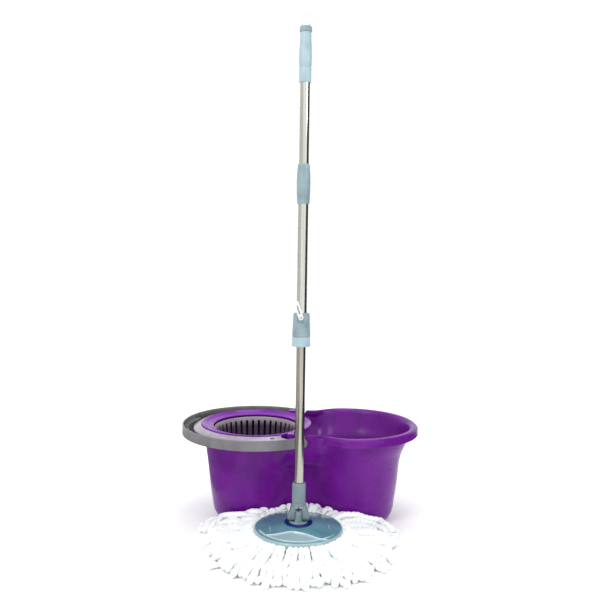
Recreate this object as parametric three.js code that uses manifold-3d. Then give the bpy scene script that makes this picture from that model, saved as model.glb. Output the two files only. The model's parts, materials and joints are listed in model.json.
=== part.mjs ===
// Spin mop and its two-lobed spinner bucket, in millimetres, +Z up, standing on z = 0.
// The origin is the middle of the bucket's base. The basket lobe is at -X, the water lobe at +X,
// and the mop stands in front of the waist, at -Y.
import * as THREE from "three";
import { mergeVertices } from "three/addons/utils/BufferGeometryUtils.js";
import Module from "manifold-3d";

const wasm = await Module();
wasm.setup();

// ---------------------------------------------------------------- driving dimensions
const GAP = 0.3;
const LOBE_X = 95;
const WALL = 2.6;
const FLOOR = 3;
const RIM_Z = 182;
const FILLET_X = -4;
const FILLET_Y = 123;
const WAIST_X = [-40, 34];
const ROLL_START_X = 28;

const AXLE_R = 4;
const POST_TOP = 84;
const BASKET_TOP = 179.5;
const BASKET_FLOOR = 94;
const BASKET_TOP_R = 84.6;
const BASKET_LOW_R = 76.5;
const SLOTS = 40;
const BASKET_NECK_Z = 174.5;
const BASKET_WALL = 2.2;
const SLOT_W = 5.2;
const SLOT_Z = [110, 170.5];
const DRAIN_SLOTS = 10;
const HUB_R = 11;
const HUB_BORE_R = 6.3;
const HUB_TOP = 102;

const PIVOT_X = -1;
const PIVOT_Z = 176;
const PIVOT_R = 3;
const PIVOT_FACE_Y = 106;
const BOSS_Y = [106.9, 113.2];
const SIDES = [-1, 1];
const BOSS_R = 9;
const PIN_HEAD_R = 5.4;
const HANDLE_R = 150;
const GRIP_RIBS = [139, 142, 145];
const FINGER_SLOT = [129.4, 136];

const MOP_X = -7;
const MOP_Y = -165;
const DISC_R = 81.5;
const YARN_REACH = 176;
const TILT_Z = 62;
const TILT_PIN_R = 2.5;
const SOCKET_TOP = 120;
const SOCKET_R = 12.35;
const INNER_R = 8.5;
const INNER_Z = [92.5, 417];
const TUBE_WALL = 0.55;
const OUTER_R = 9.5;
const OUTER_Z = [386.5, 652.5];
const UPPER_R = 9;
const UPPER_Z = [658.8, 912];
const ROD_Z = [312, 645];
const ROD_W = 7;
const ROD_T = 2.6;
const ROD_LEAD = 80;
const COLLAR_Z = [386, 428];
const LEVER_X = -1;
const LEVER_Z = 420.5;
const LEVER_Y = [-16, -12];
const LEVER_LEAN = 19;
const COUPLER_Z = [620.8, 690.7];
const GRIP_Z = [831, 916.8];
const CAP_Z = [917.1, 927];
const LOOP_Z = 941.3;

// ---------------------------------------------------------------- materials
function finish(color, roughness, metalness) {
  return new THREE.MeshStandardMaterial({ color, roughness, metalness });
}

const PURPLE = finish(0x6e2890, 0.28, 0);
const PURPLE_LIGHT = finish(0x8a45ad, 0.22, 0);
const HANDLE_GREY = finish(0x9b93a0, 0.4, 0);
const BASKET_GREY = finish(0x6a5f74, 0.45, 0);
const STEEL = finish(0xc9c7c2, 0.22, 1);
const PIN_STEEL = finish(0xb4b4b4, 0.35, 1);
const GREY_BLUE = finish(0x93acb8, 0.38, 0);
const GRIP_BLUE = finish(0xa9c3d0, 0.5, 0);
const DISC_BLUE = finish(0x6f8e9e, 0.3, 0);
const DEEP_BLUE = finish(0x0c4682, 0.35, 0);
const WHITE = finish(0xe8ebec, 0.4, 0);
const YARN_WHITE = finish(0xf3f5f6, 0.95, 0);
const BUSH_WHITE = finish(0xdcdcd6, 0.5, 0);

// ---------------------------------------------------------------- shape helpers
const rad = THREE.MathUtils.degToRad;

// A closed geometry as a manifold solid that faces outwards.
function solid(geometry) {
  const bare = geometry.clone();
  bare.deleteAttribute("normal");
  bare.deleteAttribute("uv");
  const merged = mergeVertices(bare, 1e-3);
  const p = merged.attributes.position.array;
  const kept = [];
  let volume = 0;
  for (let i = 0; i < merged.index.count; i += 3) {
    const [a, b, c] = [0, 1, 2].map((k) => merged.index.getX(i + k));
    if (a === b || b === c || a === c) continue;
    kept.push([a, b, c]);
    const [u, v, w] = [a, b, c].map((n) => new THREE.Vector3(p[3 * n], p[3 * n + 1], p[3 * n + 2]));
    volume += u.dot(v.cross(w));
  }
  const triVerts = new Uint32Array(kept.flatMap(([a, b, c]) => (volume < 0 ? [a, c, b] : [a, b, c])));
  return new wasm.Manifold(new wasm.Mesh({ numProp: 3, vertProperties: new Float32Array(p), triVerts }));
}

const merge = (...solids) => solids.reduce((a, b) => a.add(b));
const cut = (body, ...tools) => tools.reduce((a, b) => a.subtract(b), body);

// A round body about Z, from a profile of [radius, height].
function turned(profile, segments = 48, x = 0, y = 0) {
  const g = new THREE.LatheGeometry(profile.map(([r, z]) => new THREE.Vector2(r, z)), segments);
  return solid(g.rotateX(Math.PI / 2).translate(x, y, 0));
}

const looped = (profile) => [...profile, profile[0]];

// A span along Y on one side of the bucket: side is -1 for the front, 1 for the back.
const onSide = (side, near, far) => (side < 0 ? [-far, -near] : [near, far]);

const column = (r, z0, z1, segments, x, y) => turned([[0, z0], [r, z0], [r, z1], [0, z1]], segments, x, y);
const sleeve = (r0, r1, z0, z1, segments, x, y) =>
  turned(looped([[r0, z0], [r1, z0], [r1, z1], [r0, z1]]), segments, x, y);

// A box between two corners.
function block([x0, y0, z0], [x1, y1, z1]) {
  const g = new THREE.BoxGeometry(x1 - x0, y1 - y0, z1 - z0);
  return solid(g.translate((x0 + x1) / 2, (y0 + y1) / 2, (z0 + z1) / 2));
}

// A cylinder along X or Y between two stations.
function bar(axis, r, from, to, [u, v], segments = 20) {
  const g = new THREE.CylinderGeometry(r, r, to - from, segments);
  if (axis === "x") return solid(g.rotateZ(Math.PI / 2).translate((from + to) / 2, u, v));
  return solid(g.translate(u, (from + to) / 2, v));
}

// A flat outline pulled up along Z.
function plate(points, z0, z1) {
  const shape = new THREE.Shape(points.map(([x, y]) => new THREE.Vector2(x, y)));
  return solid(new THREE.ExtrudeGeometry(shape, { depth: z1 - z0, bevelEnabled: false }).translate(0, 0, z0));
}

// An outline in XZ pulled along Y.
function slab(points, y0, y1) {
  const shape = new THREE.Shape(points.map(([x, z]) => new THREE.Vector2(x, z)));
  const g = new THREE.ExtrudeGeometry(shape, { depth: y1 - y0, bevelEnabled: false });
  return solid(g.rotateX(Math.PI / 2).translate(0, y1, 0));
}

// An outline in YZ pulled along X.
function beam(points, x0, x1) {
  const shape = new THREE.Shape(points.map(([y, z]) => new THREE.Vector2(y, z)));
  const g = new THREE.ExtrudeGeometry(shape, { depth: x1 - x0, bevelEnabled: false });
  return solid(g.rotateX(Math.PI / 2).rotateZ(Math.PI / 2).translate(x0, 0, 0));
}

function arcPoints(r, from, to, steps, cx = 0, cy = 0) {
  return Array.from({ length: steps + 1 }, (_, i) => {
    const a = rad(from + ((to - from) * i) / steps);
    return [cx + r * Math.cos(a), cy + r * Math.sin(a)];
  });
}

function geometryOf(body) {
  const m = body.getMesh();
  const g = new THREE.BufferGeometry();
  g.setAttribute("position", new THREE.BufferAttribute(new Float32Array(m.vertProperties), 3));
  g.setIndex(new THREE.BufferAttribute(new Uint32Array(m.triVerts), 1));
  return g;
}

function named(name, body, material) {
  const g = geometryOf(body);
  g.computeVertexNormals();
  const mesh = new THREE.Mesh(g, material);
  mesh.name = name;
  return mesh;
}

// ---------------------------------------------------------------- bucket
const BASKET_LOBE = [[70, 0], [79.5, 4], [85.5, 16], [93, 66], [97.2, 108], [101, 137], [107, RIM_Z]];
const WATER_LOBE = [
  [75, 0], [85, 4], [90.5, 18], [97.6, 72], [101.9, 116], [106.2, 136], [114.6, 154], [124.4, 187],
];
const WAIST = [[84, 0], [84, 108], [89, 135], [PIVOT_FACE_Y, 162], [PIVOT_FACE_Y, RIM_Z]];
const FILLET = [[71, -5], [68, 18], [60, 66], [56, 108], [36, 138], [17, 162], [17, 200]];

// The outside of the tub, moved inwards by the inset and starting at the floor's height.
function tubBody(inset, floor, top) {
  const lobe = (profile, x) => {
    const low = profile.filter(([, z]) => z > floor);
    const heads = low.map(([r, z]) => [r - inset, z]);
    const end = heads[heads.length - 1];
    const rise = top > 0 ? [[end[0], end[1] + top]] : [];
    const first = inset > 0 ? heads[0][0] - 2 : profile[0][0] - inset;
    return turned([[0, floor], [first, floor], ...heads, ...rise, [0, end[1] + top]], 36, x, 0);
  };
  const half = WAIST.map(([y, z], i) => [y - inset, i ? z : floor]);
  half[half.length - 1][1] += top;
  const outline = [...half, ...half.map(([y, z]) => [-y, z]).reverse()];
  const web = beam(outline, WAIST_X[0] + inset, WAIST_X[1] - inset);
  const round = FILLET.map(([r, z]) => [r + inset, z]);
  const tool = (side) => turned([[0, -5], ...round, [0, 200]], 32, FILLET_X, side * FILLET_Y);
  return merge(lobe(BASKET_LOBE, -LOBE_X), lobe(WATER_LOBE, LOBE_X), cut(web, tool(-1), tool(1)));
}

// The hollow post that carries the basket, thinned all over by the inset.
function post(inset) {
  const top = POST_TOP - inset * 3;
  const profile = [[0, -5], [21 - inset, -5], [18 - inset, 12], [11.5 - inset, top], [0, top]];
  return turned(profile, 32, -LOBE_X);
}

function bucketTub() {
  const shell = cut(tubBody(0, 0, 0), tubBody(WALL, FLOOR, 10));
  const trimmed = cut(shell, block([-200, -200, RIM_Z + 0.1], [ROLL_START_X, 200, 200]));
  const roll = turned(
    looped([
      [121.6, 181], [122.8, 187.6], [127, 190.8], [133, 190.6], [137.6, 187], [138.2, 175],
      [136, 175], [135.2, 185.8], [127.6, 187.4], [124, 181],
    ]),
    38,
    LOBE_X,
  );
  const rim = cut(roll, block([-80, -200, 150], [ROLL_START_X, 200, 200]));
  const pillar = post(0).intersect(column(40, 0, 120, 24, -LOBE_X));
  const pins = SIDES.map((side) => bar("y", PIVOT_R + GAP, ...onSide(side, 90, 120), [PIVOT_X, PIVOT_Z]));
  const axle = column(AXLE_R + GAP, 58, 90, 20, -LOBE_X);
  return cut(merge(trimmed, rim, pillar), post(2.4), axle, ...pins);
}

function spinnerRing() {
  return turned(
    looped([
      [87.4, 181.6], [87.4, 183.8], [89.6, 184.8], [96, 183.4], [102, 185], [109.4, 189.8],
      [111.2, 188.8], [111.2, 182.4], [102.7, 182.4], [102.7, 174], [100.6, 174], [100.6, 182.4], [96, 181],
    ]),
    44,
  );
}

function rimClip(side) {
  const outline = [[-30, 182.4], [-17, 182.4], [-17, 190.5], [-18.5, 192], [-28.5, 192], [-30, 190.5]];
  return slab(outline, ...onSide(side, 93, 105));
}

function pivotPin(side) {
  const pivot = [PIVOT_X, PIVOT_Z];
  const headFoot = BOSS_Y[1] + GAP;
  const shank = bar("y", PIVOT_R, ...onSide(side, 98, headFoot + 0.3), pivot);
  const head = bar("y", PIN_HEAD_R, ...onSide(side, headFoot, headFoot + 1.9), pivot);
  return shank.add(head);
}

// ---------------------------------------------------------------- basket
function basketCup() {
  const floorTop = BASKET_FLOOR + 2.4;
  const hubFoot = POST_TOP + 2.2;
  const cup = turned(
    looped([
      [BASKET_LOW_R - 6, BASKET_FLOOR],
      [BASKET_LOW_R, BASKET_FLOOR + 5],
      [BASKET_TOP_R, BASKET_NECK_Z],
      [BASKET_TOP_R + 1.8, BASKET_TOP],
      [BASKET_TOP_R - 0.6, BASKET_TOP],
      [BASKET_LOW_R - BASKET_WALL, BASKET_FLOOR + 6],
      [BASKET_LOW_R - 7, floorTop],
      [HUB_R - 1, floorTop],
      [HUB_R - 1, HUB_TOP],
      [HUB_BORE_R, HUB_TOP],
      [HUB_BORE_R, hubFoot],
      [HUB_R - 1, hubFoot],
      [HUB_R - 1, BASKET_FLOOR],
    ]),
    SLOTS,
  );
  const mid = (SLOT_Z[0] + SLOT_Z[1]) / 2;
  const half = SLOT_W / 2;
  const side = [[-half, SLOT_Z[0]], [half, SLOT_Z[0]], ...arcPoints(half, 0, 180, 3, 0, SLOT_Z[1])];
  let pierced = cup;
  for (let i = 0; i < SLOTS / 2; i++) {
    const turn = rad(((i + 0.5) * 360) / SLOTS);
    for (const [y0, y1] of [[-100, -60], [60, 100]]) {
      const shape = new THREE.Shape(side.map(([x, z]) => new THREE.Vector2(x, z - mid)));
      const g = new THREE.ExtrudeGeometry(shape, { depth: y1 - y0, bevelEnabled: false });
      pierced = pierced.subtract(solid(g.rotateX(Math.PI / 2).translate(0, y1, mid).rotateZ(turn)));
    }
  }
  for (let i = 0; i < DRAIN_SLOTS; i++) {
    const g = new THREE.BoxGeometry(34, 4.5, 12).translate(43, 0, BASKET_FLOOR);
    pierced = pierced.subtract(solid(g.rotateZ(rad((i * 360) / DRAIN_SLOTS))));
  }
  return pierced;
}

function hubCap() {
  const foot = HUB_TOP + GAP;
  const inside = [[0, foot + 5.3], [7.2, foot + 5.3], [7.2, foot]];
  const outside = [[HUB_R, foot], [HUB_R, foot + 4.2], [8, foot + 7.1], [4, foot + 8.3], [0, foot + 8.5]];
  return turned([...inside, ...outside], 20);
}

// ---------------------------------------------------------------- carry handle
// A plate between two radii, centred on the far end of the basket lobe.
function sector(halfAngle, r0, r1, z0, z1) {
  const outer = arcPoints(r1, 180 - halfAngle, 180 + halfAngle, 8);
  const inner = arcPoints(r0, 180 + halfAngle, 180 - halfAngle, 8);
  return plate([...outer, ...inner], z0, z1);
}

function carryHandle() {
  const channel = turned(
    looped([
      [HANDLE_R, 170], [HANDLE_R, 188.6], [148.6, 190], [146.8, 188.6], [146.8, 174.4], [129, 174.4],
      [127.4, 181.4], [114, 188], [112, 187.2], [112, 185], [124.6, 179.4], [126.4, 171.8], [147, 171.8],
      [147, 170],
    ]),
    48,
  );
  const pivot = [PIVOT_X + LOBE_X, PIVOT_Z];
  const waist = block([LOBE_X - 42, -BOSS_Y[0], 150], [LOBE_X + 80, BOSS_Y[0], 200]);
  const beyond = block([pivot[0] + 4, -160, 150], [LOBE_X + 80, 160, 200]);
  const discs = (r, near, far) => SIDES.map((side) => bar("y", r, ...onSide(side, near, far), pivot, 24));
  const bosses = discs(BOSS_R, BOSS_Y[0], BOSS_Y[1]);
  const holes = discs(PIVOT_R + GAP, 90, 130);
  const headRoom = discs(8, BOSS_Y[1], 130);
  const grip = sector(27, 137, 147.4, 172, 182.5);
  const ribs = GRIP_RIBS.map((r) => sector(25, r - 0.8, r + 0.8, 182, 184.6));
  const fingerSlot = sector(23, ...FINGER_SLOT, 160, 200);
  return cut(merge(cut(channel, waist, beyond), ...bosses, grip, ...ribs), fingerSlot, ...holes, ...headRoom);
}

// ---------------------------------------------------------------- mop head
// The top surface of the disc cover: height at a radius.
const COVER_TOP = [
  [6.4, 46], [18, 45.8], [27, 45], [50, 42], [72, 38.8], [DISC_R - 1.5, 37.2], [DISC_R, 35.4],
];

function coverHeight(r) {
  const i = Math.max(1, COVER_TOP.findIndex(([s]) => s >= r));
  const [[r0, z0], [r1, z1]] = [COVER_TOP[i - 1], COVER_TOP[i]];
  return z0 + ((z1 - z0) * (r - r0)) / (r1 - r0);
}

// One half of the raised S that runs over the disc.
function coverRidge(turn) {
  const stations = Array.from({ length: 15 }, (_, i) => {
    const t = i / 14;
    const r = 30 + 38 * Math.sin(t * Math.PI * 0.5);
    const a = rad(turn - 62 * t);
    return new THREE.Vector3(r * Math.cos(a), r * Math.sin(a), coverHeight(r) - 0.4);
  });
  const path = new THREE.CatmullRomCurve3(stations);
  const shape = new THREE.Shape(arcPoints(1.5, 0, 288, 4).map(([x, y]) => new THREE.Vector2(x, y)));
  return solid(new THREE.ExtrudeGeometry(shape, { steps: 14, extrudePath: path, bevelEnabled: false }));
}

function discCover() {
  const under = [
    [DISC_R, 31.2], [DISC_R - 2.2, 31.2], [DISC_R - 2.4, 34.4], [50, 39.4],
    [27, 42.4], [18, 43.2], [6.4, 43.4],
  ];
  const shell = turned(looped([...COVER_TOP, ...under]), 40);
  return merge(shell, coverRidge(200), coverRidge(20));
}

const basePlate = () =>
  turned(
    looped([
      [6.4, 30.8], [6.4, 28], [10, 28], [12, 17], [58, 17], [62, 20], [62, 30.8], [60, 30.8], [60, 20],
      [14, 19.2], [12.4, 30.8],
    ]),
    28,
  );

const refillRing = () => sleeve(62.5, 74, 24, 29.5, 30);

// How far the yarn reaches from the mop's axis in a direction.
function yarnReach(degrees) {
  const a = rad(degrees);
  const left = Math.max(0, -Math.cos(a));
  const right = Math.max(0, Math.cos(a));
  return YARN_REACH + 12 * left * left + 7 * right * right;
}

function yarnSkirt() {
  const outline = Array.from({ length: 36 }, (_, i) => {
    const degrees = i * 10;
    const r = yarnReach(degrees);
    return [r * Math.cos(rad(degrees)), r * Math.sin(rad(degrees))];
  });
  const ring = cut(plate(outline, 0, 40), column(63.2, -1, 41, 32));
  const top = turned([[0, 0], [200, 0], [200, 8], [170, 14], [110, 22], [74, 23.6], [0, 23.6]], 24);
  const tub = tubBody(-4, -3, 0);
  const shifted = solid(geometryOf(tub).translate(-MOP_X, -MOP_Y, 0));
  return cut(ring.intersect(top), shifted);
}

const swivelRing = () =>
  turned(looped([[18.4, 46.2], [25.5, 45.6], [25.5, 47.4], [24, 48.4], [19.4, 48.4], [18.4, 47.6]]), 24);

const swivelBolt = () =>
  turned([[0, 24], [9.6, 24], [9.6, 27.6], [6, 27.6], [6, 46.2], [4.6, 48], [4.6, 52], [0, 52]], 20);

// ---------------------------------------------------------------- swivel and fork
function swivelYoke() {
  const foot = turned([[0, 46.6], [17.6, 46.6], [17.6, 48.2], [16, 49], [0, 49]], 20);
  const outline = [[-8, 48], [8, 48], [8, TILT_Z], ...arcPoints(8, 15, 165, 10, 0, TILT_Z), [-8, TILT_Z]];
  const tongue = beam(outline, -6.3, 6.3);
  const bolt = column(6.3 - 1.4, 46, 52.3, 24).add(column(6.3, 40, 48.3, 24));
  const pin = bar("x", TILT_PIN_R + 0.25, -10, 10, [0, TILT_Z], 14);
  const slit = block([-1, -20, 67.4], [1, 20, 80]);
  return cut(foot.add(tongue), bolt, pin, slit);
}

const tiltPin = () => bar("x", TILT_PIN_R, -15, 15, [0, TILT_Z], 14);

function socketFork() {
  const neck = turned(
    [
      [0, 72], [11.6, 72], [SOCKET_R, 79], [11.4, 82], [SOCKET_R, 85.5], [SOCKET_R, 116], [10.6, SOCKET_TOP],
      [0, SOCKET_TOP],
    ],
    20,
  );
  const flare = [[20.4, 48], [20.2, 54], [17.6, 64], [14.4, 73], [SOCKET_R, 79.6]];
  const bell = slab([...flare, ...flare.map(([x, z]) => [-x, z]).reverse()], -11.4, 11.4);
  const foot = 12.6;
  const round = beam([[-foot, 90], ...arcPoints(foot, 180, 360, 14, 0, TILT_Z), [foot, 90]], -25, 25);
  const legs = bell.intersect(round);
  const gapOutline = [[-6.9, 40], [6.9, 40], [6.9, 70], ...arcPoints(6.9, 0, 180, 8, 0, 71.4), [-6.9, 70]];
  const gap = slab(gapOutline, -20, 20);
  const bore = column(INNER_R + GAP, 92, 130, 20);
  const pin = bar("x", TILT_PIN_R + GAP, -15.4, 15.4, [0, TILT_Z], 14);
  return cut(legs.add(neck), gap, bore, pin);
}

// ---------------------------------------------------------------- pole
const tube = (r, [z0, z1]) => sleeve(r - TUBE_WALL, r, z0, z1, 20);

const nutHousing = () =>
  turned(looped([[5, 396], [7.6, 396], [7.6, 416.6], [6.6, 416.6], [6.6, 401], [5, 401]]), 20);

const nutCap = () =>
  turned(looped([[5, 412.2], [6.3, 412.2], [6.3, 417.3], [8.7, 417.3], [8.7, 420.6], [5, 420.6]]), 20);

const clutchNut = () => sleeve(4.2, 6.2, 401.4, 411.8, 20);

function twistRod() {
  const [z0, z1] = ROD_Z;
  const steps = Math.round(((z1 - z0) / ROD_LEAD) * 10);
  const g = new THREE.BoxGeometry(ROD_W, ROD_T, z1 - z0, 1, 1, steps);
  const p = g.attributes.position;
  for (let i = 0; i < p.count; i++) {
    const turn = (p.getZ(i) / ROD_LEAD) * 2 * Math.PI;
    const [x, y] = [p.getX(i), p.getY(i)];
    p.setXY(i, x * Math.cos(turn) - y * Math.sin(turn), x * Math.sin(turn) + y * Math.cos(turn));
  }
  return solid(g.translate(0, 0, (z0 + z1) / 2));
}

const rodAnchor = () =>
  turned(looped([[4.1, 632], [8.6, 632], [8.6, 650], [0, 650], [0, 646], [4.1, 646]]), 20);

function lockCollar() {
  const body = turned(
    looped([
      [OUTER_R + GAP, COLLAR_Z[0]], [16.2, COLLAR_Z[0]], [16.3, 388], [15.6, 404], [14.8, 424],
      [14, COLLAR_Z[1]], [OUTER_R + GAP, COLLAR_Z[1]],
    ]),
    20,
  );
  const recess = block([-7.5, -20, 411], [7.5, -11.7, 440]);
  const slot = block([7.2, -20, 404], [9.4, -11.7, 426]);
  const hole = bar("y", 1.8, -14, -10.4, [LEVER_X, LEVER_Z], 16);
  return cut(body, recess, slot, hole);
}

function collarRing() {
  const outer = [[9, 368.4], [16.2, 368.4], [16.9, 370], [16.4, 374], [16.2, 385.7]];
  const inner = [[12.4, 385.7], [12.4, 371.4], [9, 371.4]];
  return turned(looped([...outer, ...inner]), 20);
}

const tubeBush = () => sleeve(INNER_R + GAP, 12.1, 371.7, 385.4, 20);

function midCoupler() {
  const body = turned(
    [
      [0, COUPLER_Z[0]], [10.6, COUPLER_Z[0]], [11.2, 624], [11.8, 634], [12.1, 648], [12.25, 658],
      [12.1, 668], [11.4, 680], [10.7, 688], [10.2, COUPLER_Z[1]], [0, COUPLER_Z[1]],
    ],
    20,
  );
  const low = column(OUTER_R + GAP, 600, 652.8, 20);
  const high = column(UPPER_R + GAP, 658.5, 700, 20);
  return cut(body, low, high);
}

function gripSleeve() {
  const body = turned(
    [
      [0, GRIP_Z[0]], [10.5, GRIP_Z[0]], [10.9, 833], [10.9, 845], [10.7, 856.4], [10.35, 857], [10.7, 857.6],
      [11.2, 868], [11.5, 880], [10.9, 892], [10, 904], [9.8, 913], [9.9, GRIP_Z[1]], [0, GRIP_Z[1]],
    ],
    20,
  );
  return cut(body, column(UPPER_R + GAP, 800, 930, 20));
}

function gripCap() {
  const plug = [[0, 898], [8, 898], [8, CAP_Z[0]]];
  const lid = [[10.4, CAP_Z[0]], [11, 918.4], [11, 925], [9.8, CAP_Z[1]], [0, CAP_Z[1]]];
  return cut(turned([...plug, ...lid], 20), column(3.3, 909, 930, 20));
}

function hangingLoop() {
  const ring = slab(arcPoints(1, 0, 342, 19).map(([x, z]) => [13 * x, LOOP_Z + 13.6 * z]), -3.2, 3.2);
  const eye = slab(arcPoints(1, 0, 330, 11).map(([x, z]) => [5.6 * x, LOOP_Z + 0.8 + 4.4 * z]), -5, 5);
  const clear = block([-20, -10, 900], [20, 10, 928.4]);
  const stem = column(3, 911, 931, 20);
  const collar = turned([[0, 927.3], [6.4, 927.3], [6, 929.6], [0, 929.6]], 20);
  return merge(cut(ring, eye, clear), stem, collar);
}

function lockLever() {
  const g = (outline) => slab(outline, LEVER_Y[0], LEVER_Y[1]);
  const body = g([...arcPoints(4.4, 180, 360, 8), ...arcPoints(4.4, 0, 180, 8, 0, 27)]);
  const slot = g([...arcPoints(1.7, 180, 360, 6, 0, 8), ...arcPoints(1.7, 0, 180, 6, 0, 22)]);
  return cut(body, slot, bar("y", 1.75, -20, -10, [0, 0], 16));
}

function leverPin() {
  const at = [LEVER_X, LEVER_Z];
  return merge(bar("y", 1.45, -16.9, -10.7, at, 16), bar("y", 2.3, -17.6, -16.3, at, 16));
}

// ---------------------------------------------------------------- assembly
const part = new THREE.Group();

part.add(
  named("bucket_tub", bucketTub(), PURPLE),
  named("rim_clip_front", rimClip(-1), PURPLE_LIGHT),
  named("rim_clip_back", rimClip(1), PURPLE_LIGHT),
  named("pivot_pin_front", pivotPin(-1), HANDLE_GREY),
  named("pivot_pin_back", pivotPin(1), HANDLE_GREY),
);

const basketSide = new THREE.Group();
basketSide.position.set(-LOBE_X, 0, 0);
basketSide.add(
  named("spinner_ring", spinnerRing(), PURPLE_LIGHT),
  named("basket_axle", column(AXLE_R, 60, 104, 20), PIN_STEEL),
  named("thrust_washer", sleeve(AXLE_R + GAP, 9.4, POST_TOP + 0.3, POST_TOP + 1.9, 20), BUSH_WHITE),
  named("axle_clip", sleeve(AXLE_R + GAP, 6.6, 102.5, 103.5, 20), PIN_STEEL),
  named("basket", basketCup(), BASKET_GREY),
  named("basket_bush", sleeve(AXLE_R + GAP, 6, POST_TOP + 2.4, HUB_TOP - 0.2, 20), BUSH_WHITE),
  named("hub_cap", hubCap(), BASKET_GREY),
  named("carry_handle", carryHandle(), HANDLE_GREY),
);

const mop = new THREE.Group();
mop.position.set(MOP_X, MOP_Y, 0);
mop.add(
  named("disc_cover", discCover(), DISC_BLUE),
  named("base_plate", basePlate(), DISC_BLUE),
  named("refill_ring", refillRing(), WHITE),
  named("yarn_skirt", yarnSkirt(), YARN_WHITE),
  named("swivel_ring", swivelRing(), DEEP_BLUE),
  named("swivel_bolt", swivelBolt(), PIN_STEEL),
  named("swivel_yoke", swivelYoke(), GREY_BLUE),
  named("tilt_pin", tiltPin(), PIN_STEEL),
  named("socket_fork", socketFork(), GREY_BLUE),
  named("inner_tube", tube(INNER_R, INNER_Z), STEEL),
  named("nut_housing", nutHousing(), BUSH_WHITE),
  named("nut_cap", nutCap(), BUSH_WHITE),
  named("clutch_nut", clutchNut(), BUSH_WHITE),
  named("lower_outer_tube", tube(OUTER_R, OUTER_Z), STEEL),
  named("twist_rod", twistRod(), PIN_STEEL),
  named("rod_anchor", rodAnchor(), BUSH_WHITE),
  named("lock_collar", lockCollar(), GREY_BLUE),
  named("collar_ring", collarRing(), GRIP_BLUE),
  named("tube_bush", tubeBush(), BUSH_WHITE),
  named("lever_pin", leverPin(), PIN_STEEL),
  named("mid_coupler", midCoupler(), GREY_BLUE),
  named("upper_outer_tube", tube(UPPER_R, UPPER_Z), STEEL),
  named("grip_sleeve", gripSleeve(), GRIP_BLUE),
  named("grip_cap", gripCap(), GREY_BLUE),
  named("hanging_loop", hangingLoop(), WHITE),
);

const lever = named("lock_lever", lockLever(), WHITE);
lever.position.set(LEVER_X, 0, LEVER_Z);
lever.rotation.y = rad(-LEVER_LEAN);
mop.add(lever);

part.add(basketSide, mop);

export default part;
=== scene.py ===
"""Looks of the spin mop and its two-lobed spinner bucket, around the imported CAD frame.

Lengths are in millimetres, and mesh_piece() and yarn_piece() turn them into metres. World frame:
origin in the middle of the bucket's base, basket lobe at -X, water lobe at +X, mop at -Y.
"""

import json
import math
import random
from itertools import pairwise

import bmesh
import bpy
import numpy as np
from mathutils import Matrix, Vector
from mathutils.kdtree import KDTree


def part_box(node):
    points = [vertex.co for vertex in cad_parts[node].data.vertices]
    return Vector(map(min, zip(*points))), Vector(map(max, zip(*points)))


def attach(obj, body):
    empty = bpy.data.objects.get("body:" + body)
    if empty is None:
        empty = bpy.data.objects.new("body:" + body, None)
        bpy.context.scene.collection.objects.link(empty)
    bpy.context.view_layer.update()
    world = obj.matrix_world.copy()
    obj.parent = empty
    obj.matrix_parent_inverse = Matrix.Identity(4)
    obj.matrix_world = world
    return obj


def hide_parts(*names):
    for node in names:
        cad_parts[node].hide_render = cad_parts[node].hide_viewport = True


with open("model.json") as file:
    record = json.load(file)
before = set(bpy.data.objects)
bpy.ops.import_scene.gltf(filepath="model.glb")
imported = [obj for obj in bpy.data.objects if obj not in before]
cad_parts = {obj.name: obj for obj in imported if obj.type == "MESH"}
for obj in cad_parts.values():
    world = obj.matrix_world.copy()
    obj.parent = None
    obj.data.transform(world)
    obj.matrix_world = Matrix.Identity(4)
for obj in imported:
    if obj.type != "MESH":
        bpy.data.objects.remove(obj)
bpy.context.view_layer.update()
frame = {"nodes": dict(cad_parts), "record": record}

MM = 0.001
BODY_OF = {node: body for body, nodes in frame["record"]["behaviour"]["bodies"].items() for node in nodes}


def axis_of(node):
    """Where a round node's upright axis stands, in millimetres."""
    low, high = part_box(node)
    return (low.x + high.x) / 2 / MM, (low.y + high.y) / 2 / MM


# ------------------------ driving dimensions
BASKET_AT = axis_of("basket")
WATER_AT = (-BASKET_AT[0], 0.0)
MOP_AT = axis_of("refill_ring")
MOP_FOOT = (*MOP_AT, 0)
PIVOT_AT = (-1.0, 176.0)
TILT_Z = 62.0

# ------------------------ camera
CAMERA_AT = (-0.0102, -1.401, 0.533)
CAMERA_PITCH = 3.8
CAMERA_ROLL = 0.87
LENS = 41.7


def linked(name, data):
    """A new object in the scene that holds the data."""
    made = bpy.data.objects.new(name, data)
    bpy.context.scene.collection.objects.link(made)
    return made


def make_camera():
    data = bpy.data.cameras.new("camera")
    data.lens = LENS
    data.sensor_width = 36
    camera = linked("camera", data)
    look = Matrix.Rotation(math.radians(90 - CAMERA_PITCH), 4, "X")
    roll = Matrix.Rotation(math.radians(CAMERA_ROLL), 4, "Z")
    camera.matrix_world = Matrix.Translation(CAMERA_AT) @ look @ roll
    bpy.context.scene.camera = camera


make_camera()


# ------------------------ materials
PEEL_SCALE = 1400
COAT_ROUGHNESS = 0.08
GLOSS_SPREAD = 0.04


def set_inputs(node, **values):
    """Sets inputs of a shader node by name, with _ for each space, or links them to other sockets."""
    for name, value in values.items():
        socket = node.inputs[name.replace("_", " ")]
        if isinstance(value, bpy.types.NodeSocket):
            node.id_data.links.new(value, socket)
        else:
            socket.default_value = value


def add_node(tree, kind, **values):
    """A new shader node of a kind, with its inputs set."""
    node = tree.nodes.new("ShaderNode" + kind)
    set_inputs(node, **values)
    return node


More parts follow.
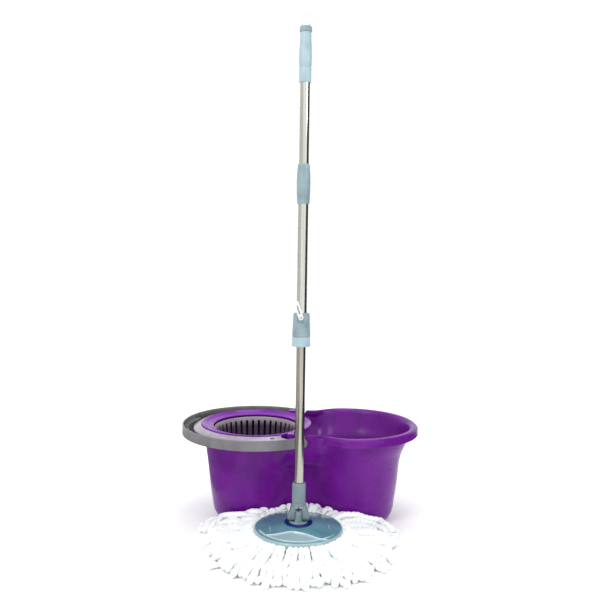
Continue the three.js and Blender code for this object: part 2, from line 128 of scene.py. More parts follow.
def blank(name, colour, roughness, metallic=0.0):
    """A new material, its node tree and its shader."""
    material = bpy.data.materials.new(name)
    material.use_nodes = True
    material.diffuse_color = (*colour, 1)
    tree = material.node_tree
    shader = tree.nodes["Principled BSDF"]
    set_inputs(shader, Base_Color=(*colour, 1), Roughness=roughness, Metallic=metallic)
    return material, tree, shader


def noise(tree, scale, detail=3.0, stretch=(1, 1, 1), rough=0.5):
    """Noise in object space, whose scale is in cells per metre."""
    place = add_node(tree, "TexCoord").outputs["Object"]
    stretched = add_node(tree, "Mapping", Vector=place, Scale=stretch).outputs["Vector"]
    cells = add_node(tree, "TexNoise", Vector=stretched, Scale=scale, Detail=detail, Roughness=rough)
    return cells.outputs["Fac"]


def ramp(tree, source, low, high, start=0.3, end=0.7):
    """A colour that runs from low to high as a value goes from start to end."""
    node = add_node(tree, "ValToRGB", Fac=source)
    for element, place, colour in zip(node.color_ramp.elements, (start, end), (low, high)):
        element.position = place
        element.color = (*colour, 1)
    return node.outputs["Color"]


def remap(tree, source, low, high, start=0.3, end=0.7):
    """A number that runs from low to high as a value goes from start to end."""
    node = add_node(tree, "MapRange", Value=source, From_Min=start, From_Max=end, To_Min=low, To_Max=high)
    return node.outputs["Result"]


def mixed(tree, share, first, second, blend="MIX"):
    """Blends two colours by a share; each of the three is a socket or a plain value."""
    node = add_node(tree, "Mix")
    node.data_type = "RGBA"
    node.blend_type = blend
    set_inputs(node, Factor=share, A=first, B=second)
    return node.outputs["Result"]


def mesh_value(tree, attribute):
    """The number that a mesh holds at each vertex."""
    node = add_node(tree, "Attribute")
    node.attribute_name = attribute
    return node.outputs["Fac"]


def bump(tree, shader, source, height, strength=1.0):
    """Bump of a real height in metres."""
    relief = add_node(tree, "Bump", Height=source, Strength=strength, Distance=height)
    set_inputs(shader, Normal=relief.outputs["Normal"])


def moulded(name, dark, light, roughness, mottle=26, peel=0.00003, coat=0.0, shine=0.4):
    """Injection-moulded plastic: softly clouded colour, slightly uneven gloss and a fine orange peel."""
    material, tree, shader = blank(name, light, roughness)
    clouds = ramp(tree, noise(tree, mottle, 3, rough=0.45), dark, light)
    gloss = remap(tree, noise(tree, mottle * 1.4, 2), roughness - GLOSS_SPREAD, roughness + GLOSS_SPREAD)
    bump(tree, shader, noise(tree, PEEL_SCALE, 2), peel)
    set_inputs(shader, Base_Color=clouds, Roughness=gloss, Specular_IOR_Level=shine)
    set_inputs(shader, Coat_Weight=coat, Coat_Roughness=COAT_ROUGHNESS)
    return material


def tinted(material, attribute, colour):
    """Mixes the colour of a plastic towards another where a mesh attribute says so."""
    tree = material.node_tree
    shader = tree.nodes["Principled BSDF"]
    before = shader.inputs["Base Color"].links[0].from_socket
    set_inputs(shader, Base_Color=mixed(tree, mesh_value(tree, attribute), before, (*colour, 1)))
    return material


def brushed_tube(name, tone, streak, roughness):
    """Polished stainless tube with fine marks along its length."""
    material, tree, shader = blank(name, tone, roughness, 1.0)
    lines = noise(tree, 420, 4, (1, 1, 0.012))
    marks = noise(tree, 900, 3, (1, 1, 0.03))
    gloss = remap(tree, marks, roughness * 0.6, roughness * 1.5)
    set_inputs(shader, Base_Color=ramp(tree, lines, streak, tone, 0.35, 0.62), Roughness=gloss)
    bump(tree, shader, lines, 0.00002)
    return material


def yarn_material():
    """Bright microfibre: white tufts, painted shade that turns cooler and darker down in the grooves, and a
    soft sheen.
    """
    material, tree, shader = blank("yarn_microfibre", (0.9, 0.92, 0.92), 0.95)
    # painted shade: cooler, darker white where the groove between the two plies runs
    shade = ramp(tree, mesh_value(tree, "groove"), (0.93, 0.945, 0.945), (0.85, 0.895, 0.9), 0, 1)
    tufts = noise(tree, 1500, 3, rough=0.7)
    fluff = ramp(tree, tufts, (0.72, 0.76, 0.77), (1, 1, 1), 0.3, 0.6)
    bump(tree, shader, tufts, 0.0007, 0.7)
    set_inputs(shader, Base_Color=mixed(tree, 0.16, shade, fluff, "MULTIPLY"))
    set_inputs(shader, Sheen_Weight=0.35, Sheen_Roughness=0.5, Specular_IOR_Level=0.15)
    return material


MATERIALS = {
    "purple_plastic": moulded(
        "purple_tub", (0.1, 0.002, 0.18), (0.15, 0.006, 0.255), 0.28, 22, 0.00003, coat=0.05, shine=0.2
    ),
    "purple_gloss": moulded(
        "purple_ring", (0.13, 0.006, 0.25), (0.175, 0.012, 0.31), 0.2, 22, 0.00002, coat=0.06, shine=0.2
    ),
    "handle_plastic": moulded("handle_grey", (0.15, 0.142, 0.155), (0.2, 0.19, 0.205), 0.34, 40),
    "basket_plastic": moulded("basket_grey", (0.05, 0.038, 0.06), (0.08, 0.064, 0.094), 0.36, 40),
    "pin_steel": brushed_tube("pin_steel", (0.62, 0.61, 0.6), (0.4, 0.4, 0.4), 0.3),
    "bush_plastic": moulded("bush_acetal", (0.62, 0.61, 0.58), (0.72, 0.71, 0.68), 0.45),
    "disc_plastic": moulded(
        "disc_blue", (0.062, 0.19, 0.225), (0.12, 0.275, 0.32), 0.2, 22, 0.00002, coat=0.5, shine=0.5
    ),
    "white_plastic": moulded("white_parts", (0.74, 0.76, 0.77), (0.84, 0.86, 0.87), 0.32),
    "yarn": yarn_material(),
    "deep_blue_plastic": moulded(
        "navy_ring", (0.001, 0.008, 0.11), (0.003, 0.016, 0.17), 0.26, 60, 0.00002, shine=0.3
    ),
    "grey_blue_plastic": moulded("grey_blue", (0.19, 0.27, 0.3), (0.26, 0.35, 0.385), 0.32, 50),
    "pale_blue_plastic": moulded("pale_blue", (0.3, 0.42, 0.47), (0.38, 0.5, 0.56), 0.38, 50),
    "steel_tube": brushed_tube("stainless_tube", (0.78, 0.78, 0.74), (0.6, 0.6, 0.57), 0.13),
}
# painted shade: the tub's inside round the basket is coloured darker where the basket and rim shade it
tinted(MATERIALS["purple_plastic"], "inner_shade", (0.022, 0.002, 0.035))
# painted highlight on the cover's ridges and rim, and a paler panel in front of the wave
tinted(MATERIALS["disc_plastic"], "pale", (0.5, 0.59, 0.63))
# painted highlight: the basket's upper band is coloured paler, as if lit
tinted(MATERIALS["basket_plastic"], "lip_painted_highlight", (0.34, 0.29, 0.33))
INNER_TUBE = brushed_tube("stainless_inner", (0.5, 0.49, 0.45), (0.36, 0.35, 0.32), 0.15)
# a darker copy of the grey-blue plastic, used for the fork
FORK_GREY = moulded("fork_grey", (0.14, 0.2, 0.225), (0.19, 0.26, 0.285), 0.32, 50)


# ------------------------ outlines
def polar(radius, angle, at=(0, 0)):
    """The point at a distance from another, on a bearing in radians."""
    return at[0] + radius * math.cos(angle), at[1] + radius * math.sin(angle)


def arc(radius, start, end, steps, cx=0.0, cy=0.0):
    """Points along an arc between two bearings in degrees."""
    return [polar(radius, a, (cx, cy)) for a in np.radians(np.linspace(start, end, steps + 1))]


def rounded(points, radius, closed=True, step=18):
    """An outline with its corners rounded; radius is one number, or one for each corner."""
    count = len(points)
    radii = radius if isinstance(radius, (list, tuple)) else [radius] * count
    out = []
    for i, point in enumerate(points):
        if radii[i] <= 0 or (not closed and i in (0, count - 1)):
            out.append(tuple(point))
            continue
        here = Vector(point)
        back = Vector(points[i - 1]) - here
        ahead = Vector(points[(i + 1) % count]) - here
        turn = math.pi - back.angle(ahead)
        if turn < 0.02:
            out.append(tuple(point))
            continue
        reach = min(radii[i] * math.tan(turn / 2), 0.48 * back.length, 0.48 * ahead.length)
        a, b = here + back.normalized() * reach, here + ahead.normalized() * reach
        steps = max(2, round(math.degrees(turn) / step))
        for k in range(steps + 1):
            t = k / steps
            out.append(tuple(a.lerp(here, t).lerp(here.lerp(b, t), t)))
    return out


def eased(points):
    """A smooth monotone curve through (place, value) points, as a function of the place."""
    x, y = (np.array(column, float) for column in zip(*points))
    h, d = np.diff(x), np.diff(y) / np.diff(x)
    slope = np.zeros_like(y)
    slope[0], slope[-1] = d[0], d[-1]
    for i in range(1, len(x) - 1):
        if d[i - 1] * d[i] > 0:
            w1, w2 = 2 * h[i] + h[i - 1], h[i] + 2 * h[i - 1]
            slope[i] = (w1 + w2) / (w1 / d[i - 1] + w2 / d[i])

    def value(at):
        at = np.clip(np.asarray(at, float), x[0], x[-1])
        i = np.clip(np.searchsorted(x, at) - 1, 0, len(h) - 1)
        t = (at - x[i]) / h[i]
        return (
            y[i] * (1 + 2 * t) * (1 - t) ** 2 + slope[i] * h[i] * t * (1 - t) ** 2
            + y[i + 1] * t * t * (3 - 2 * t) + slope[i + 1] * h[i] * t * t * (t - 1)
        )

    return value


def rect(x0, z0, x1, z1):
    return [(x0, z0), (x1, z0), (x1, z1), (x0, z1)]


# ------------------------ meshes
SMOOTH_TO = 32  # degrees between faces that are shaded as one surface


def grid_faces(rings, around, loop=False, closed=True):
    """Quads between rings of points that follow one another; loop joins the last ring to the first."""
    faces = []
    for i in range(rings if loop else rings - 1):
        j = (i + 1) % rings
        for k in range(around if closed else around - 1):
            m = (k + 1) % around
            faces.append((i * around + k, j * around + k, j * around + m, i * around + m))
    return faces


def end_caps(rings, around):
    """The faces that shut the first and the last ring."""
    return [tuple(range(around)), tuple(range((rings - 1) * around, rings * around))[::-1]]


def mesh_piece(name, points, faces, smooth=SMOOTH_TO):
    """A mesh object from points in millimetres, shaded smooth where it turns less than the angle."""
    mesh = bpy.data.meshes.new(name)
    mesh.from_pydata([tuple(float(c) * MM for c in p) for p in points], [], faces)
    mesh.validate()
    made = bmesh.new()
    made.from_mesh(mesh)
    bmesh.ops.remove_doubles(made, verts=made.verts, dist=1e-6)
    bmesh.ops.recalc_face_normals(made, faces=made.faces)
    made.to_mesh(mesh)
    made.free()
    shade(mesh, smooth)
    return linked(name, mesh)


def shade(mesh, degrees):
    mesh.polygons.foreach_set("use_smooth", [True] * len(mesh.polygons))
    mesh.set_sharp_from_angle(angle=math.radians(degrees))


def lathe(name, profile, at=(0, 0), segments=128, closed=True, start=0.0, end=360.0):
    """A body turned about an upright axis, or a sector of one with flat ends."""
    whole = end - start >= 360
    count = segments if whole else segments + 1
    angles = np.radians(start + (end - start) * np.arange(count) / segments)
    points = [(*polar(r, a, at), z) for a in angles for r, z in profile]
    faces = grid_faces(count, len(profile), whole, closed)
    if not whole:
        faces += end_caps(count, len(profile))
    return mesh_piece(name, points, faces)


def pulled(name, outline, near, far, along="y", at=(0, 0, 0), bevel=0.0):
    """An outline pulled along an axis: (x, z) along Y, (y, z) along X or (x, y) along Z."""
    order = {"x": (2, 0, 1), "y": (0, 2, 1), "z": (0, 1, 2)}[along]
    points = [
        tuple((u, v, w)[k] + start for k, start in zip(order, at)) for w in (near, far) for u, v in outline
    ]
    piece = mesh_piece(name, points, end_caps(2, len(outline)) + grid_faces(2, len(outline)))
    if bevel:
        soften(piece, bevel)
    return piece


def soften(piece, width, segments=3, angle=35):
    """Rounds the sharp edges of a piece."""
    modifier = piece.modifiers.new("edges", "BEVEL")
    modifier.width = width * MM
    modifier.segments = segments
    modifier.limit_method = "ANGLE"
    modifier.angle_limit = math.radians(angle)
    return settled(piece)


def moved(piece, offset, turn, about="Z"):
    """Turns a piece by degrees about an axis through the origin, then shifts it by millimetres."""
    piece.data.transform(Matrix.Rotation(math.radians(turn), 4, about))
    piece.data.transform(Matrix.Translation([c * MM for c in offset]))
    return piece


def paint(piece, name, values):
    """Stores one number for each vertex under a name that a material can read."""
    layer = piece.data.attributes.new(name, "FLOAT", "POINT")
    layer.data.foreach_set("value", np.asarray(values, np.float32))


def vertices_of(piece):
    """The piece's vertices in millimetres."""
    flat = np.empty(3 * len(piece.data.vertices))
    piece.data.vertices.foreach_get("co", flat)
    return flat.reshape(-1, 3) / MM


def settled(piece):
    """The piece with its modifiers made real."""
    evaluated = piece.evaluated_get(bpy.context.evaluated_depsgraph_get())
    mesh = bpy.data.meshes.new_from_object(evaluated)
    piece.modifiers.clear()
    piece.data = mesh
    shade(mesh, SMOOTH_TO)
    return piece


def carve(piece, operation, *tools):
    """Joins, cuts or intersects a piece with tools, which are used up."""
    for tool in tools:
        modifier = piece.modifiers.new("carve", "BOOLEAN")
        modifier.operation = operation
        modifier.object = tool
        modifier.solver = "EXACT"
    bpy.context.view_layer.update()
    settled(piece)
    for tool in tools:
        bpy.data.objects.remove(tool)
    return piece


def joined(name, *parts):
    """One piece from several whose meshes stay apart."""
    made = bmesh.new()
    for part in parts:
        made.from_mesh(part.data)
    mesh = bpy.data.meshes.new(name)
    made.to_mesh(mesh)
    made.free()
    for part in parts:
        bpy.data.objects.remove(part)
    shade(mesh, SMOOTH_TO)
    return linked(name, mesh)


def fit(piece, slot, *nodes, material=None):
    """The piece stands for the nodes: it rides with them and takes the finish of a slot."""
    piece.data.materials.clear()
    piece.data.materials.append(material or MATERIALS[slot])
    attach(piece, BODY_OF[nodes[0]])
    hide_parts(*nodes)
    return piece


# ------------------------ the tub's outer shape
WALL = 2.6
TUB_TOP = 182.1
WATER_TOP = 187.0
LIFT_X = (2.0, 14.0)
CORNER = 24.0
TUCK = 18.0
HOUSING_FILLET = 24.0
BASKET_LOBE = eased([(0, 85.2), (16, 86.2), (66, 93), (108, 97.4), (137, 101.2), (182, 107)])
WATER_LOBE = eased([(0, 90), (18, 91), (72, 97.8), (116, 102), (136, 106.2), (154, 114.2), (187, 124.4)])
WAIST_ROUND = eased([(0, 66), (18, 68), (66, 60), (108, 56), (182, 50)])
HOUSING_Y = eased([(0, 40), (112, 60), (126, 84), (140, 98), (158, 105.2), (182, 106)])
HOUSING_X = (-40.0, 34.0)
RIM_ROOT_R = 122.9
RIM_TURN = 122.0
RIM_END_X = 4.0
RIM_MIDDLE_Z = 184.5
RIM_STEPS = 110
RIM_PROFILE = [
    (121.6, 181), (122.6, 187.4), (127, 190.9), (133.2, 190.7), (137.8, 187), (138.2, 175),
    (136.2, 175), (135.2, 185.6), (127.8, 187.2), (124.2, 181),
]
LIFT_FROM_Z = 120


def round_union(a, b, r):
    """Two distance fields joined with a fillet of that radius."""
    u, v = np.maximum(r - a, 0), np.maximum(r - b, 0)
    return np.maximum(r, np.minimum(a, b)) - np.hypot(u, v)


def tub_distance(x, y, z):
    """How far a point is outside the tub's outer wall, at a height; below 0 inside."""
    low = np.clip((CORNER - z) / CORNER, 0, 1)
    tuck = TUCK * (1 - np.sqrt(1 - low * low))
    basket = np.hypot(x - BASKET_AT[0], y) - (BASKET_LOBE(z) - tuck)
    water = np.hypot(x - WATER_AT[0], y) - (WATER_LOBE(z) - tuck)
    body = round_union(basket, water, WAIST_ROUND(z))
    middle, half = sum(HOUSING_X) / 2, (HOUSING_X[1] - HOUSING_X[0]) / 2
    corner = 7.0
    dx = np.abs(x - middle) - (half - corner)
    dy = np.abs(y) - (HOUSING_Y(z) - corner)
    block = np.hypot(np.maximum(dx, 0), np.maximum(dy, 0)) + np.minimum(np.maximum(dx, dy), 0) - corner
    return round_union(body, block, HOUSING_FILLET)


def tub_radius(angles, z, inset):
    """How far from the origin the wall, moved inwards by the inset, is along each angle."""
    near, far = np.zeros_like(angles), np.full_like(angles, 260.0)
    for _ in range(26):
        middle = (near + far) / 2
        outside = tub_distance(middle * np.cos(angles), middle * np.sin(angles), z) > -inset
        near, far = np.where(outside, near, middle), np.where(outside, middle, far)
    return (near + far) / 2


def tub_shell():
    """The wall and floor of the tub, as rings of one closed grid."""
    count = 360
    angles = np.radians(np.arange(count) * 360 / count)
    heights = list(np.linspace(CORNER, TUB_TOP, 34)[1:-1])
    under = [(12.0, 1.6), (9.0, 1.4), (7.0, 0.2), (3.0, 0.0)]
    outer = [(0.0, 0.0)] + [(0.0, CORNER * (1 - math.cos(math.radians(a)))) for a in (20, 38, 54, 70, 90)]
    outer += [(0.0, z) for z in heights] + [(0.0, TUB_TOP - 1.0), (0.35, TUB_TOP - 0.3), (1.0, TUB_TOP)]
    inner = [(WALL - 1.0, TUB_TOP), (WALL - 0.35, TUB_TOP - 0.3), (WALL, TUB_TOP - 1.0)]
    inner += [(WALL, z) for z in reversed(heights)]
    inner += [(WALL + 0.2, 13.0), (WALL + 1.4, 8.0), (WALL + 4.0, 4.6), (WALL + 8.0, 3.1), (WALL + 12.0, 3.0)]
    rings = []
    for inset, z in under + outer + inner:
        radius = tub_radius(angles, z, inset)
        lift = np.clip((radius * np.cos(angles) - LIFT_X[0]) / (LIFT_X[1] - LIFT_X[0]), 0, 1)
        high = np.clip((z - LIFT_FROM_Z) / (TUB_TOP - LIFT_FROM_Z), 0, 1)
        lift = lift * lift * (3 - 2 * lift) * (WATER_TOP - TUB_TOP) * high
        if z > LIFT_FROM_Z:
            radius = np.array([tub_radius(angles[i:i + 1], z + lift[i], inset)[0] for i in range(count)])
        rings.append(np.stack([radius * np.cos(angles), radius * np.sin(angles), z + lift], axis=1))
    low = [rings[0] * (share, share, 1) for share in (0.15, 0.5, 0.85)]
    high = [rings[-1] * (share, share, 1) for share in (0.85, 0.5, 0.15)]
    rings = low + rings + high
    points = np.concatenate(rings + [[(0, 0, 1.6), (0, 0, 3.0)]])
    base, last = len(rings) * count, (len(rings) - 1) * count
    faces = grid_faces(len(rings), count)
    faces += [(base, (i + 1) % count, i) for i in range(count)]
    faces += [(base + 1, last + i, last + (i + 1) % count) for i in range(count)]
    return mesh_piece("tub_wall", points, faces, 40)


def rim_station(share):
    """Where the lip's root stands, which way is out, and how far the lip reaches, on one side."""
    turn = RIM_TURN * min(1.0, share / 0.9)
    a = math.radians(turn)
    root = Vector(polar(RIM_ROOT_R, a, WATER_AT))
    out = Vector(polar(1, a))
    fade = float(np.clip((turn - 96) / 25, 0, 1))
    reach = 1 - 0.8 * fade * fade * (3 - 2 * fade)
    past = max(0.0, (share - 0.9) / 0.1)
    root = root.lerp(Vector((RIM_END_X, 103.0)), past)
    return root, out.lerp(Vector((0, 1)), min(1, past * 3)).normalized(), reach, min(1.0, (1 - share) / 0.012)


def rolled_rim():
    """The rolled lip round the water lobe, which narrows to a bead along the waist."""
    section = rounded(RIM_PROFILE, [0.5, 3, 4, 4, 4, 0.9, 0.9, 3, 3, 0.5])
    points = []
    for i in range(-RIM_STEPS, RIM_STEPS + 1):
        root, out, reach, size = rim_station(abs(i) / RIM_STEPS)
        side = -1 if i < 0 else 1
        for r, z in section:
            off = (r - RIM_ROOT_R) * reach * size
            height = RIM_MIDDLE_Z + (z - RIM_MIDDLE_Z) * size
            points.append((root.x + out.x * off, side * (root.y + out.y * off), height))
    rings = 2 * RIM_STEPS + 1
    return mesh_piece("rim_roll", points, grid_faces(rings, len(section)) + end_caps(rings, len(section)), 40)


def build_tub():
    post = lathe(
        "post",
        rounded([(26, 2.9), (20.5, 3.6), (17.6, 12), (11.5, 84), (0, 84)], [0, 4, 8, 1.2, 0], closed=False),
        BASKET_AT, 64, closed=False,
    )
    tub = joined("tub_shell", tub_shell(), rolled_rim(), post)
    x, y, z = vertices_of(tub).T
    from_basket = np.hypot(x - BASKET_AT[0], y - BASKET_AT[1])
    within = (tub_distance(x, y, z) < -0.6 * WALL) & (from_basket < 106) & (z > 3.5)
    # painted shade: darker inside the basket lobe, below the rim and away from the waist
    paint(tub, "inner_shade", within * np.clip((-12 - x) / 14, 0, 1) * np.clip((180 - z) / 6, 0, 1) * 0.85)
    fit(tub, "purple_plastic", "bucket_tub")
    for node in ("rim_clip_front", "rim_clip_back"):
        low, high = (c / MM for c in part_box(node))
        outline = rounded(rect(low.x, low.z, high.x, high.z), [0, 0, 2, 2])
        fit(pulled(node + "_look", outline, low.y, high.y, bevel=0.7), "purple_gloss", node)


# ------------------------ spinner ring, basket and handle
def turned_piece(node, slot, profile, radii, at=MOP_AT, segments=96, closed=True, step=14, material=None):
    """A finely turned body that stands for a round CAD node."""
    piece = lathe(node + "_look", rounded(profile, radii, closed, step), at, segments, closed)
    return fit(piece, slot, node, material=material)


def build_ring():
    turned_piece(
        "spinner_ring", "purple_gloss",
        [
            (87.4, 181.6), (87.4, 183.9), (89.6, 184.9), (96, 183.5), (102, 185), (109.2, 189.9),
            (111.3, 188.9), (111.2, 182.5), (102.7, 182.4), (102.7, 174), (100.6, 174), (100.6, 182.2),
            (96, 181),
        ],
        [0.5, 0.8, 2.2, 9, 12, 1.2, 1.0, 0.4, 0.3, 0.4, 0.4, 0.3, 4],
        BASKET_AT, 160, step=10,
    )


BASKET_SLOTS = 40
DRAINS = 10
SLOT_HALF = 2.6
SLOT_Z = (110.0, 170.5)
BASKET_WALL = 2.2
basket_radius = eased([(99, 76.6), (130, 79.8), (174.5, 84.6), (179.5, 86.4)])


def slotted_wall():
    """The basket's wall as one sheet with arched slots, thickened inwards."""
    low_rows = [99.0, 102.0, 105.0]
    mid_rows = list(np.linspace(SLOT_Z[0], SLOT_Z[1], 8))
    top_rows = [173.8, 175.6, 177.6, 179.5]
    across = np.linspace(-1, 1, 7)
    points, faces, index = [], [], {}

    def vertex(sector, column, z):
        """A point of the sheet: columns -1 to 1 cross a slot, and 1 to 3 cross a rib."""
        radius = float(basket_radius(z))
        half = math.asin(SLOT_HALF / radius)
        pitch = 2 * math.pi / BASKET_SLOTS
        angle = column * half if column <= 1 else half + (column - 1) / 2 * (pitch - 2 * half)
        angle += sector * pitch
        key = (round(math.degrees(angle) * 1e4) % 3600000, round(z * 1e3))
        if key not in index:
            index[key] = len(points)
            points.append((*polar(radius, angle, BASKET_AT), z))
        return index[key]

    def quad(sector, c0, c1, z0, z1, arch0=0, arch1=0):
        """A face between two columns and two rows, which may follow a slot's round end."""
        bow = [SLOT_HALF * math.sqrt(max(0.0, 1 - c * c)) for c in (c0, c1)]
        corner = [
            vertex(sector, c0, z0 + arch0 * bow[0]), vertex(sector, c1, z0 + arch0 * bow[1]),
            vertex(sector, c1, z1 + arch1 * bow[1]), vertex(sector, c0, z1 + arch1 * bow[0]),
        ]
        if len(set(corner)) > 2:
            faces.append(tuple(dict.fromkeys(corner)))

    for sector in range(BASKET_SLOTS):
        for c0, c1 in pairwise(across):
            for z0, z1 in pairwise(low_rows):
                quad(sector, c0, c1, z0, z1)
            quad(sector, c0, c1, low_rows[-1], SLOT_Z[0], arch1=-1)
            quad(sector, c0, c1, SLOT_Z[1], top_rows[0], arch0=1)
            for z0, z1 in pairwise(top_rows):
                quad(sector, c0, c1, z0, z1)
        for c0, c1 in pairwise((1, 1.5, 2, 2.5, 3)):
            for z0, z1 in pairwise(low_rows + mid_rows + top_rows):
                quad(sector, c0, c1, z0, z1)
    sheet = mesh_piece("slotted_wall", points, faces, 40)
    thick = sheet.modifiers.new("thick", "SOLIDIFY")
    thick.thickness = BASKET_WALL * MM
    thick.offset = -1
    settled(sheet)
    return soften(sheet, 0.45, 2, 50)


def drained_floor():
    """The basket's floor with its radial drain slots, and the raised hub."""
    profile = rounded(
        [
            (10, 94), (70.4, 94), (76.7, 99.6), (76.2, 103), (74.2, 103), (74.2, 100.4), (69.4, 96.5),
            (13, 96.5), (11.2, 98), (10.6, 102.2), (6.4, 102.2), (6.4, 94),
        ],
        [0.5, 4, 3, 0.5, 0.5, 3, 3, 2, 2, 0.8, 0.5, 0.5],
    )
    drain = arc(2.25, -90, 90, 8, 57.8, 0) + arc(2.25, 90, 270, 8, 28.2, 0)
    bearings = [360 / DRAINS * i for i in range(DRAINS)]
    drains = [moved(pulled("drain", drain, 80, 110, "z"), (BASKET_AT[0], 0, 0), turn) for turn in bearings]
    floor = lathe("floor", profile, BASKET_AT, 120)
    return soften(carve(floor, "DIFFERENCE", joined("drains", *drains)), 0.35, 2, 50)


def build_basket():
    basket = joined("basket_look", slotted_wall(), drained_floor())
    height = vertices_of(basket)[:, 2]
    # painted highlight: paler from 166 mm up to the lip
    paint(basket, "lip_painted_highlight", 0.85 * np.clip((height - 166) / 7, 0, 1))
    fit(basket, "basket_plastic", "basket")
    turned_piece(
        "hub_cap", "basket_plastic",
        [(0, 102.4), (11, 102.4), (11, 106.6), (8, 109.6), (0, 110.9)], [0, 0.5, 2, 3, 0],
        BASKET_AT, 64, closed=False, step=18,
    )


HANDLE_BAND_R = 128.0
HANDLE_HALF_Y = 106.9
GRIP_WALL_R = 146.8
BOSS_R = 9.0


def handle_material():
    """Warm grey plastic whose inner band is glossier and painted paler, a silvery lavender that stands for
    the light on its upward face, with painted shade in the grip's channel.
    """
    material, tree, shader = blank("handle_painted_lit_band", (0.25, 0.23, 0.26), 0.36)
    flat = add_node(tree, "VectorMath")
    flat.operation = "MULTIPLY_ADD"
    tree.links.new(add_node(tree, "TexCoord").outputs["Object"], flat.inputs[0])
    flat.inputs[1].default_value = (1, 1, 0)
    flat.inputs[2].default_value = (-BASKET_AT[0] * MM, 0, 0)
    radius = add_node(tree, "VectorMath", Vector=flat.outputs["Vector"])
    radius.operation = "LENGTH"
    inside, outside = (HANDLE_BAND_R - 0.6) * MM, (HANDLE_BAND_R + 0.6) * MM
    band = remap(tree, radius.outputs["Value"], 0, 1, inside, outside)
    cloud = noise(tree, 45, 4)
    # painted light: the inner band is the same grey plastic, coloured paler for the light its upward face
    # catches
    lit_band_colour = ramp(tree, cloud, (0.25, 0.22, 0.275), (0.35, 0.315, 0.375))
    plain = ramp(tree, cloud, (0.13, 0.124, 0.136), (0.18, 0.17, 0.187))
    bump(tree, shader, noise(tree, PEEL_SCALE, 2), 0.00003)
    colour, gloss = mixed(tree, band, lit_band_colour, plain), remap(tree, band, 0.2, 0.42, 0, 1)
    set_inputs(shader, Base_Color=colour, Roughness=gloss)
    set_inputs(shader, Coat_Weight=0.2, Coat_Roughness=COAT_ROUGHNESS)
    # painted shade in the lower part of the grip's channel
    return tinted(material, "channel_painted_shade", (0.03, 0.028, 0.034))


def y_cylinder(name, radius, near, far, at, rounding=0.8):
    """A turned body lying along Y, with rounded edges."""
    profile = rounded(rect(0, near, radius, far), [0, rounding, rounding, 0], closed=False)
    return moved(lathe(name, profile, segments=48, closed=False), (at[0], 0, at[1]), -90, "X")


def upright_block(name, near, far, low=150, high=210, turned=None):
    """A block over a rectangle; when turned, the rectangle lies out from the basket's axis on a bearing."""
    piece = pulled(name, rect(*near, *far), low, high, "z")
    return piece if turned is None else moved(piece, (*BASKET_AT, 0), turned)


def grip_ripple(depth, span):
    """A raised line on the grip that bows from the outer wall in towards the basket and back."""
    radius, around, steps = 0.9, 10, 40
    points = []
    for i in range(steps + 1):
        t = 2 * i / steps - 1
        a = math.radians(180 + span * t)
        r = GRIP_WALL_R - depth * math.cos(t * math.pi / 2)
        for k in range(around):
            turn = 2 * math.pi * k / around
            out, up = radius * math.cos(turn), radius * 3.1 * math.sin(turn)
            points.append((*polar(r + out, a, BASKET_AT), 181.8 + up))
    return mesh_piece("ripple", points, grid_faces(steps + 1, around) + end_caps(steps + 1, around), 50)


